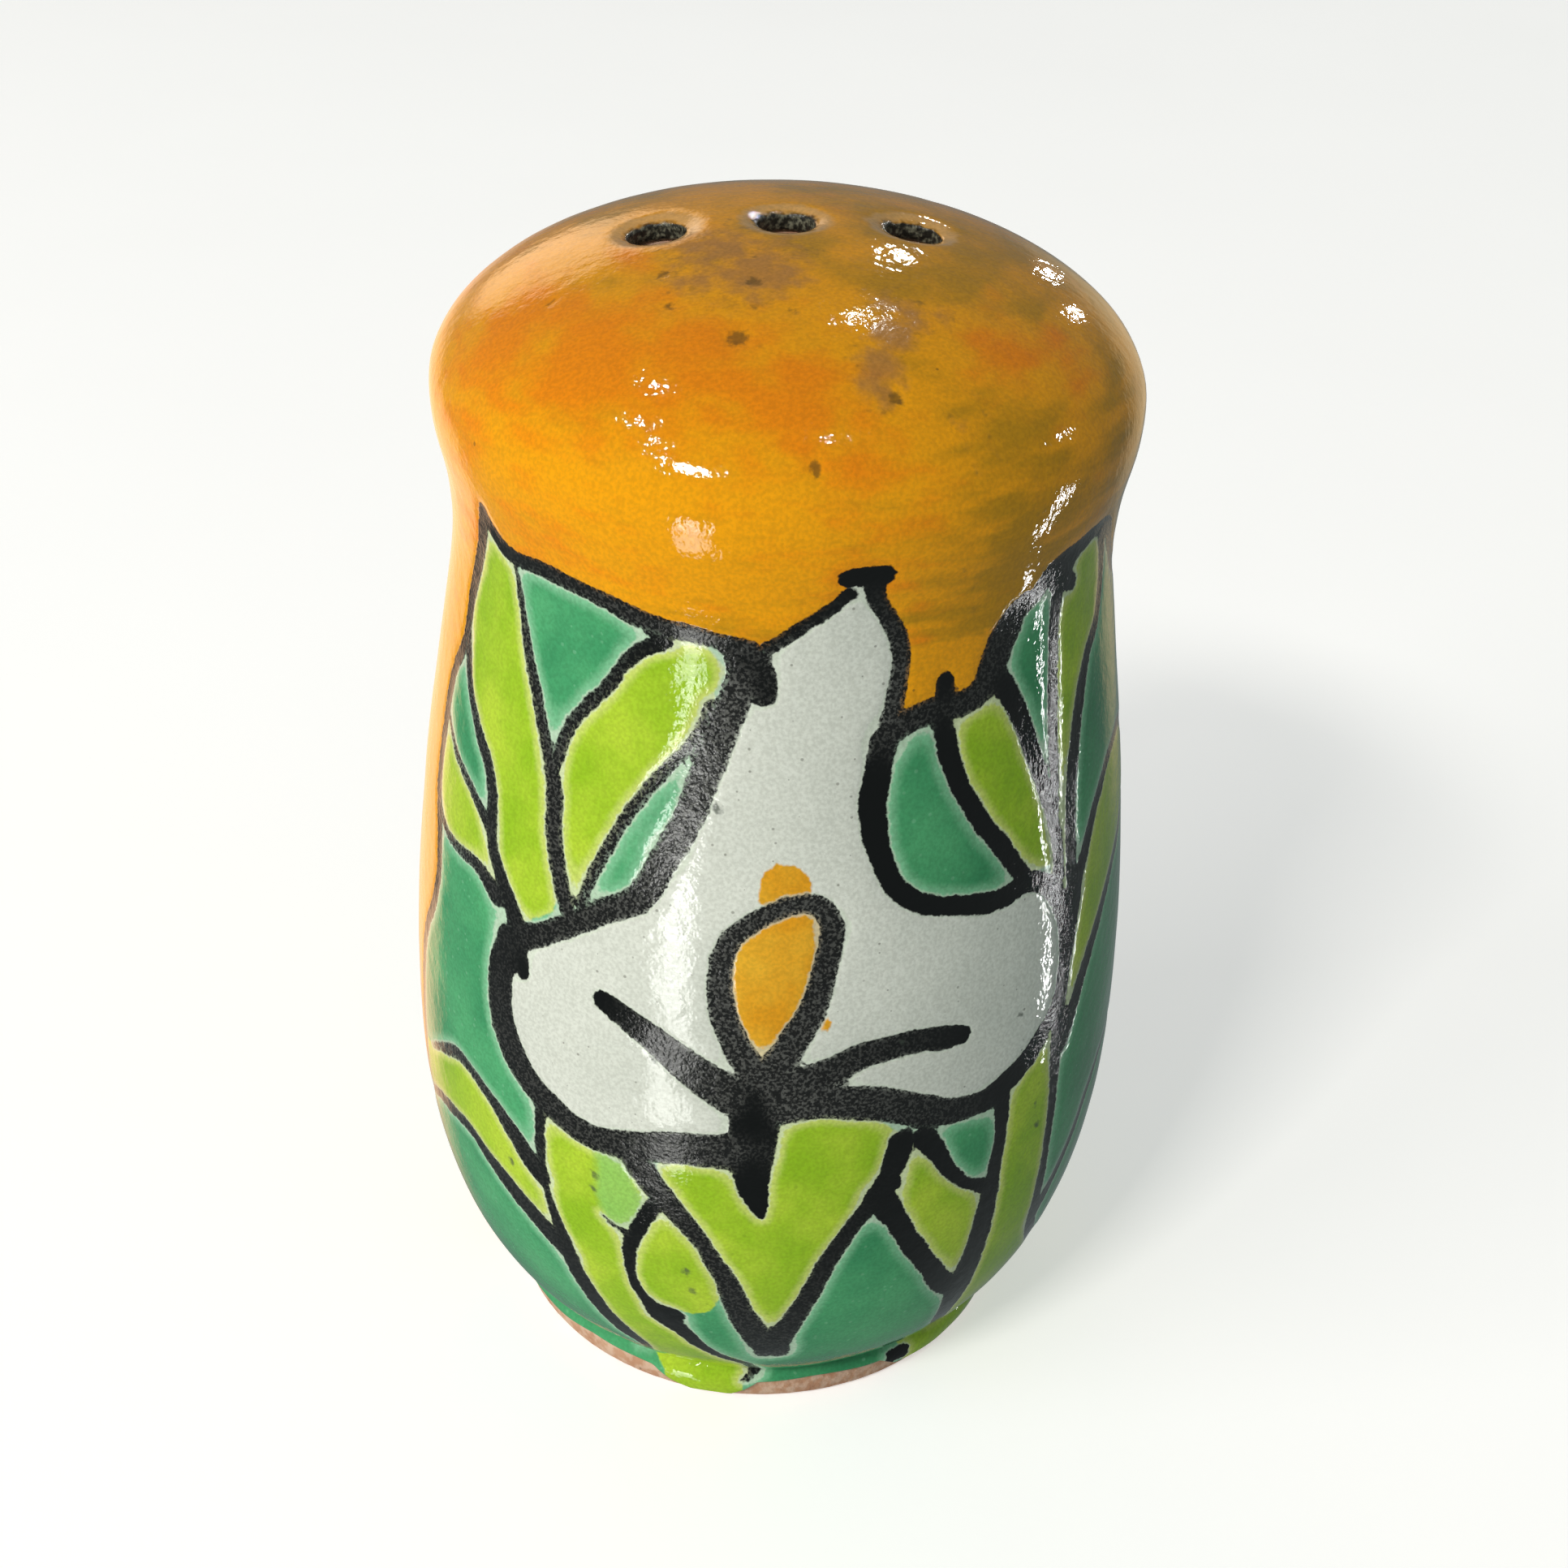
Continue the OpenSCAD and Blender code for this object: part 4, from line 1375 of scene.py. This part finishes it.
# %% A new material with its Principled shader
def new_material(name, **constants):
    """A material, its net and its Principled shader; constants are set on the shader's own sockets."""
    material = bpy.data.materials.new(name)
    material.use_nodes = True
    made = Net(material.node_tree)
    shader = material.node_tree.nodes["Principled BSDF"]
    for socket, value in constants.items():
        shader.inputs[socket.replace("_", " ")].default_value = value
    return material, made, shader


def bump(net, shader, height):
    """Feeds a height in mm to the shader's normal."""
    node = net.add("ShaderNodeBump")
    node.inputs["Distance"].default_value = MM
    net.feed(node.inputs["Height"], height)
    net.feed(shader.inputs["Normal"], node.outputs["Normal"])


# %% [markdown]
# ## The painted glaze
#
# The numbers on the points are smooth distances. Adding a little noise to a distance before it is
# cut off gives a brushed edge. A brush edge wanders slowly and is frayed finely, so two noises
# of different size are added.

# %% Ragged distances
glaze, net, shader = new_material("painted_glaze", IOR=1.5)
fray = net.minus(net.noise(3.2, 2.0), 0.5)
wander = net.minus(net.noise(0.7, 1.0), 0.5)


def ragged(name, fine, slow):
    """A painted distance with a frayed, wandering edge."""
    moved = net.plus(net.number(name), net.times(fray, fine))
    return net.plus(moved, net.times(wander, slow))


line_edge = ragged("line_mm", 0.3, 0.25)
fill_edge = ragged("fill_mm", 0.35, 0.3)
leaf_edge = ragged("leaf_mm", 0.3, 0.5)
panel_edge = ragged("panel_mm", 0.2, 0.2)
petal_edge = ragged("petal_mm", 0.2, 0.2)
gold_edge = ragged("gold_mm", 0.3, 0.3)

# %% Teal ground and lime leaves: pale where the glaze thins out towards a line
teal_deep = net.group(cloudy_tone, Size=7.0, Softness=0.25,
                      Light=srgb(92, 184, 124), Dark=srgb(58, 150, 98))
teal_grain = net.group(fine_specks, Spacing=0.55, Radius=0.14, Share=0.35)
teal_thick = net.mask(fill_edge, 0.05, 0.95)
teal = net.blend(teal_thick, srgb(138, 206, 160), teal_deep["Color"])
teal = net.over(teal_grain["Mask"], 0.35, teal, srgb(140, 205, 165))
lime_body = net.group(cloudy_tone, Size=5.0, Softness=0.2,
                      Light=srgb(196, 224, 60), Dark=srgb(158, 202, 32))
lime_grain = net.group(fine_specks, Spacing=0.8, Radius=0.15, Share=0.3)
lime = net.blend(net.mask(fill_edge, 0.1, 0.8), srgb(216, 230, 118), lime_body["Color"])
lime = net.over(lime_grain["Mask"], 0.3, lime, srgb(120, 160, 30))

# %% Lily white, with grit in it, and the yellow of the spadix
white_body = net.group(cloudy_tone, Size=9.0, Softness=0.3,
                       Light=srgb(240, 242, 231), Dark=srgb(226, 229, 218))
white_grit = net.group(fine_specks, Spacing=0.75, Radius=0.1, Share=0.5)
white = net.over(white_grit["Mask"], 0.6, white_body["Color"], srgb(120, 118, 105))
gold_body = net.group(cloudy_tone, Size=3.0, Softness=0.25,
                      Light=srgb(250, 190, 50), Dark=srgb(240, 165, 25))

# %% The yellow of the dome, brushed on the wheel
brushed = net.noise(0.2, 3.0, net.place((1.0, 1.0, 4.0)))
fine_cloud = net.noise(0.3, 3.0, net.place((1.0, 1.0, 2.5)))
# The olive number holds the dome's olive tone and also the painted shade along the crease under the head.
olive_and_shade_amount = net.plus(net.number("olive_and_crease_shade"), net.wobble(brushed, 2.2))
deep_amount = net.plus(net.number("deep"), net.wobble(fine_cloud, 1.6))
yellow = net.blend(net.mask(olive_and_shade_amount, 0.1, 0.9), srgb(255, 172, 2), srgb(206, 148, 8))
yellow = net.blend(net.mask(deep_amount, 0.15, 0.9), yellow, srgb(255, 148, 0))
thin_amount = net.plus(net.number("thin"), net.wobble(net.noise(0.9, 4.0), 1.1))
thin_mask = net.mask(thin_amount, 0.25, 0.85)
yellow = net.over(thin_mask, 0.75, yellow, srgb(178, 124, 66))
thin_rim = net.times(net.mask(thin_amount, 0.15, 0.4), net.mask(thin_amount, 0.7, 0.4))
rim_dust = net.times(net.mask(net.noise(1.6, 3.0), 0.5, 0.75), 0.5)
yellow = net.over(thin_rim, rim_dust, yellow, srgb(120, 92, 30))
yellow_grit = net.group(fine_specks, Spacing=2.6, Radius=0.14, Share=0.25)
yellow = net.over(yellow_grit["Mask"], 0.6, yellow, srgb(110, 80, 20))
pit_mask = net.mask(net.plus(net.number("pits"), net.times(fray, 0.8)), 0.3, 0.8)
yellow = net.over(pit_mask, 0.7, yellow, srgb(96, 72, 24))

# %% Rims of the pour holes: a pale ring outside, thin glaze with a painted highlight, and a dark gritty inside, painted shade with grit in it
hole_edge = net.plus(net.number("hole_mm"), net.wobble(net.noise(0.9, 2.0), 1.0))
# Painted highlight: the pale ring round each hole is partly thin glaze and partly a highlight on the rim.
rim_glaze_and_highlight = net.times(net.mask(hole_edge, 0.0, 0.4), net.mask(hole_edge, 1.3, 0.7))
yellow = net.over(rim_glaze_and_highlight, 0.75, yellow, srgb(226, 178, 116))
# Painted shade: the inside of each hole is dark grey, with paler grains of grit in it.
hole_shade_and_grit = net.blend(net.mask(net.noise(3.6, 3.0), 0.42, 0.75), srgb(38, 36, 30), srgb(150, 148, 126))
in_hole = net.mask(hole_edge, 0.35, -0.1)
yellow = net.blend(in_hole, yellow, hole_shade_and_grit)

# %% Lay the colours over each other
colour = net.blend(net.mask(panel_edge, 0.08, -0.08), yellow, teal)
colour = net.blend(net.mask(leaf_edge, 0.12, -0.12), colour, lime)
wash_mask = net.mask(ragged("wash_mm", 0.5, 0.8), 0.6, -0.5)
colour = net.over(wash_mask, 0.75, colour, srgb(150, 212, 110))
colour = net.blend(net.mask(petal_edge, 0.06, -0.06), colour, white)
colour = net.blend(net.mask(gold_edge, 0.1, -0.1), colour, gold_body["Color"])
halo = net.times(net.mask(fill_edge, 0.2, 0.02), net.mask(panel_edge, 0.0, -0.2))
colour = net.over(halo, 0.6, colour, srgb(226, 236, 216))

# %% Ink: wet ink is black and glossy, dry ink is grey and broken by the weave of the brush, and down the lily's left this grey and its pale specks are partly a painted sheen
dry_ink_and_sheen = net.minus(1.0, net.number("ink"))
dry_grain = net.noise(5.0, 3.0)
dry_specks_and_sheen = net.times(net.mask(dry_grain, 0.44, 0.64), dry_ink_and_sheen)
ink_colour = net.blend(dry_ink_and_sheen, srgb(3, 4, 3), srgb(36, 36, 35))
ink_colour = net.blend(dry_specks_and_sheen, ink_colour, srgb(116, 116, 112))
under_ink = net.mask(line_edge, 0.07, -0.05)
broken_ink = net.times(dry_ink_and_sheen, net.mask(dry_grain, 0.45, 0.6))
frayed_edge = net.times(net.mask(line_edge, -0.35, 0.0), broken_ink)
ink_cover = net.minus(under_ink, net.times(net.times(under_ink, frayed_edge), 0.6))
colour = net.blend(ink_cover, colour, ink_colour)
grain = net.blend(net.mask(net.noise(4.2, 3.0), 0.3, 0.7), srgb(234, 234, 232), srgb(255, 255, 255))
colour = net.blend(1.0, colour, grain, "MULTIPLY")
grime_mask = net.mask(net.plus(net.number("grime"), net.times(fray, 0.8)), 0.3, 0.8)
colour = net.over(grime_mask, 0.75, colour, srgb(64, 72, 62))
net.feed(shader.inputs["Base Color"], colour)

# %% Gloss and fine relief of the glaze
smooth_gloss = net.plus(0.045, net.times(net.times(ink_cover, dry_ink_and_sheen), 0.03))
worn_gloss = net.plus(smooth_gloss, net.times(thin_mask, 0.12))
hole_rough = net.times(net.mask(hole_edge, 0.2, -0.2), 0.35)
net.feed(shader.inputs["Roughness"], net.plus(worn_gloss, hole_rough))
peel_height = net.group(orange_peel, Size=0.32, Depth=0.017)["Height"]
cushion_height = net.times(net.mask(fill_edge, -0.15, 0.3), 0.02)
dry_height = net.times(net.times(dry_grain, ink_cover), 0.02)
hole_height = net.times(net.times(net.noise(2.6, 3.0), in_hole), 0.12)
body_height = net.plus(peel_height, cushion_height)
bump(net, shader, net.plus(body_height, net.plus(dry_height, hole_height)))
painted_glaze.data.materials.append(glaze)
print("painted glaze has", len(glaze.node_tree.nodes), "nodes")

# %% [markdown]
# ## Bare clay
#
# The foot was wiped clean before firing, so the kiln left it matte. Red earthenware is a warm
# pinkish brown with pale dust in its pores, dark grit and a rough, sandy surface.

# %% Earthenware
clay, net, shader = new_material("bare_clay", IOR=1.45)
clay_body = net.group(cloudy_tone, Size=3.5, Softness=0.25,
                      Light=srgb(214, 168, 136), Dark=srgb(186, 130, 98))
clay_dust = net.group(cloudy_tone, Size=0.7, Softness=0.12,
                      Light=srgb(236, 212, 190), Dark=srgb(190, 140, 108))
clay_grit = net.group(fine_specks, Spacing=0.9, Radius=0.16, Share=0.3)
clay_color = net.blend(0.4, clay_body["Color"], clay_dust["Color"])
clay_color = net.over(clay_grit["Mask"], 0.6, clay_color, srgb(112, 74, 54))
net.feed(shader.inputs["Base Color"], clay_color)
net.feed(shader.inputs["Roughness"], net.plus(0.75, net.times(clay_dust["Mask"], 0.15)))
clay_sand = net.times(net.noise(2.4, 4.0), 0.09)
bump(net, shader, net.minus(clay_sand, net.times(clay_grit["Mask"], 0.04)))
earthenware.data.materials.append(clay)

# %% [markdown]
# ## Cork
#
# Cork is bark: a warm light brown, cloudy from grain to grain, with darker woody specks. It never
# shines. The pores that were cut into the mesh are also stained dark, from the number on the
# points that says how deep in a pore each one lies.

# %% Cork
cork_material, net, shader = new_material("cork", IOR=1.4)
cork_body = net.group(cloudy_tone, Size=1.6, Softness=0.2,
                      Light=srgb(206, 168, 118), Dark=srgb(170, 126, 78))
cork_specks = net.group(fine_specks, Spacing=1.1, Radius=0.28, Share=0.45)
cork_color = net.over(cork_specks["Mask"], 0.7, cork_body["Color"], srgb(104, 66, 38))
pore_edge = net.plus(net.number("pore"), net.wobble(net.noise(2.5), 0.3))
cork_color = net.blend(net.mask(pore_edge, 0.12, 0.4), cork_color, srgb(78, 48, 28))
net.feed(shader.inputs["Base Color"], cork_color)
net.feed(shader.inputs["Roughness"], net.plus(0.72, net.times(cork_body["Mask"], 0.12)))
bump(net, shader, net.times(net.noise(2.0, 4.0), 0.12))
cork.data.materials.append(cork_material)

# %% [markdown]
# ## Floor, light and background
#
# The floor is a pale disc that gives off a little light of its own, so that it stays pale out to
# its edge. A glossy pot mirrors whatever is around it, and a near-white floor would lay a grey
# veil over its lower half, so the floor stays out of reflections and the soft sky stands in for
# it there. Its lower side is clear, so that the cork can be seen from below.

# %% Floor
FLOOR_R = 2.5
FLOOR_RINGS = 6
FLOOR_POINTS = 64

floor_store = Points()
floor_radii = np.linspace(FLOOR_R / FLOOR_RINGS, FLOOR_R, FLOOR_RINGS)[::-1, None] / MM
floor_ids = floor_store.add(around(floor_radii, full_turn(FLOOR_POINTS)[None, :], 0.0))
floor_middle = floor_store.add(np.zeros((1, 3)))
floor_fan = fan(floor_middle[0], floor_ids[-1])
floor = new_mesh("floor", floor_store.all(), strips(floor_ids)[:, ::-1], floor_fan)
floor.visible_glossy = False
floor.visible_diffuse = False
floor.visible_shadow = False
floor_paint, net, shader = new_material("floor_paint", Roughness=0.9, Emission_Strength=0.46,
                                        Emission_Color=(1.0, 1.0, 1.0, 1.0))
floor_tone = net.group(cloudy_tone, Size=60.0, Softness=0.4,
                       Light=srgb(247, 246, 244), Dark=srgb(243, 242, 240))
net.feed(shader.inputs["Base Color"], floor_tone["Color"])
one_sided = net.add("ShaderNodeMixShader")
net.feed(one_sided.inputs["Fac"], net.add("ShaderNodeNewGeometry").outputs["Backfacing"])
net.feed(one_sided.inputs[1], shader.outputs["BSDF"])
net.feed(one_sided.inputs[2], net.add("ShaderNodeBsdfTransparent").outputs["BSDF"])
net.feed(floor_paint.node_tree.nodes["Material Output"].inputs["Surface"], one_sided.outputs["Shader"])
floor.data.materials.append(floor_paint)

# %% [markdown]
# The sky lights the shaker softly and is mirrored in its glaze, but the camera sees a plain pale
# backdrop in its place. It is dim, with warm and olive glows behind the shaker for its edges, and
# three narrow white ones in front, one above the other, for the sheen down the left of the lily.
#
# One strong lamp from the left front stands for the sun and gives the form. Three wide fills lift
# the shadows and leave no reflection. The small lamps do the opposite: they light nothing, but
# each is mirrored as one of the sparkles that a fired glaze shows. The tall, narrow one is
# mirrored as the bright line down the leaves on the right.

# %% Soft sky: glows as (azimuth, elevation, width, core, tone), in degrees
SKY_TONE = (0.175, 0.2, 0.2, 1.0)
BACKDROP_TONE = (0.75, 0.76, 0.75, 1.0)
SKY_GLOWS = [
    (-150, -24, 26, 8, (1.5, 0.86, 0.45, 1.0)),
    (-158, 14, 16, 5, (1.9, 1.25, 0.75, 1.0)),
    (150, -10, 22, 6, (0.75, 0.5, 0.22, 1.0)),
    (-27, -19, 5, 2, (8.0, 8.0, 7.7, 1.0)),
    (-28, -25, 7, 2, (7.0, 7.0, 6.8, 1.0)),
    (-29, -35, 7, 2, (5.0, 5.0, 4.8, 1.0)),
]


def toward(azimuth, elevation):
    """A direction: azimuth 0 is the camera's side, -Y, and 90 is +X."""
    a = math.radians(azimuth)
    e = math.radians(elevation)
    return (math.sin(a) * math.cos(e), -math.cos(a) * math.cos(e), math.sin(e))


world = bpy.data.worlds.new("soft_sky")
world.use_nodes = True
bpy.context.scene.world = world
net = Net(world.node_tree)
sky = net.add("ShaderNodeTexCoord").outputs["Generated"]
glow = SKY_TONE
for azimuth, elevation, wide, core, tone in SKY_GLOWS:
    facing = net.add("ShaderNodeVectorMath", operation="DOT_PRODUCT")
    net.feed(facing.inputs[0], sky)
    facing.inputs[1].default_value = toward(azimuth, elevation)
    far_cos, near_cos = math.cos(math.radians(wide)), math.cos(math.radians(core))
    amount = net.mask(facing.outputs["Value"], far_cos, near_cos)
    glow = net.blend(amount, glow, tone, "ADD")
background = world.node_tree.nodes["Background"]
seen_directly = net.add("ShaderNodeLightPath").outputs["Is Camera Ray"]
net.feed(background.inputs["Color"], net.blend(seen_directly, glow, BACKDROP_TONE))

# %% Lamps: (name, azimuth, elevation, distance, width, height, watts, tone), in degrees and metres
LAMPS = [
    ("sun", -33, 42, 1.5, 0.32, 0.18, 9.2, (1.0, 0.97, 0.92)),
    ("left_fill", -62, 25, 1.0, 0.5, 0.5, 2.8, (1.0, 0.98, 0.94)),
    ("low_fill", -58, -34, 1.0, 1.0, 1.0, 4.0, (1.0, 0.99, 0.93)),
    ("right_fill", 35, 0, 1.0, 1.0, 1.0, 0.6, (0.78, 1.0, 0.98)),
    ("spark_left_near", -48, 46, 0.8, 0.014, 0.014, 0.36, (1.0, 0.98, 0.94)),
    ("spark_left_mid", -58, 54, 0.8, 0.014, 0.014, 0.36, (1.0, 0.98, 0.94)),
    ("spark_left_far", -76, 58, 0.8, 0.016, 0.014, 0.36, (1.0, 0.98, 0.94)),
    ("side_strip", 96, -24, 0.30, 0.006, 0.11, 0.07, (1.0, 1.0, 1.0)),
    ("spark_back_right", 160, 9, 0.8, 0.014, 0.034, 0.38, (1.0, 0.98, 0.9)),
    ("spark_right", 150, 17, 0.8, 0.014, 0.024, 0.3, (1.0, 0.98, 0.9)),
    ("spark_crown", 170, 30, 0.8, 0.02, 0.014, 0.39, (1.0, 0.98, 0.92)),
    ("spark_high", 167, 53, 0.8, 0.02, 0.012, 0.36, (1.0, 0.98, 0.92)),
    ("spark_side", 100, 22, 0.8, 0.024, 0.018, 0.36, (1.0, 0.98, 0.95)),
    ("spark_top_left", -109, 66, 0.8, 0.018, 0.012, 0.34, (1.0, 0.98, 0.95)),
    ("spark_top", 32, 71, 0.8, 0.012, 0.018, 0.34, (1.0, 0.98, 0.95)),
]
LAMP_AIM = (0.0, 0.0, 0.6 * total_h * MM)

for name, azimuth, elevation, distance, width, height, watts, tone in LAMPS:
    data = bpy.data.lights.new(name, "AREA")
    data.shape = "RECTANGLE"
    data.size = width
    data.size_y = height
    data.energy = watts
    data.color = tone
    lamp = bpy.data.objects.new(name, data)
    bpy.context.scene.collection.objects.link(lamp)
    way = Matrix.Translation([a + distance * d for a, d in zip(LAMP_AIM, toward(azimuth, elevation))])
    turned = Matrix.Rotation(math.radians(azimuth), 4, "Z")
    tipped = Matrix.Rotation(math.radians(90 - elevation), 4, "X")
    lamp.matrix_world = way @ turned @ tipped
    lamp.visible_camera = False
    lamp.visible_diffuse = name == "sun" or "fill" in name
    lamp.visible_glossy = "fill" not in name
bpy.context.scene.view_settings.view_transform = "Standard"
print(len(LAMPS), "lamps")
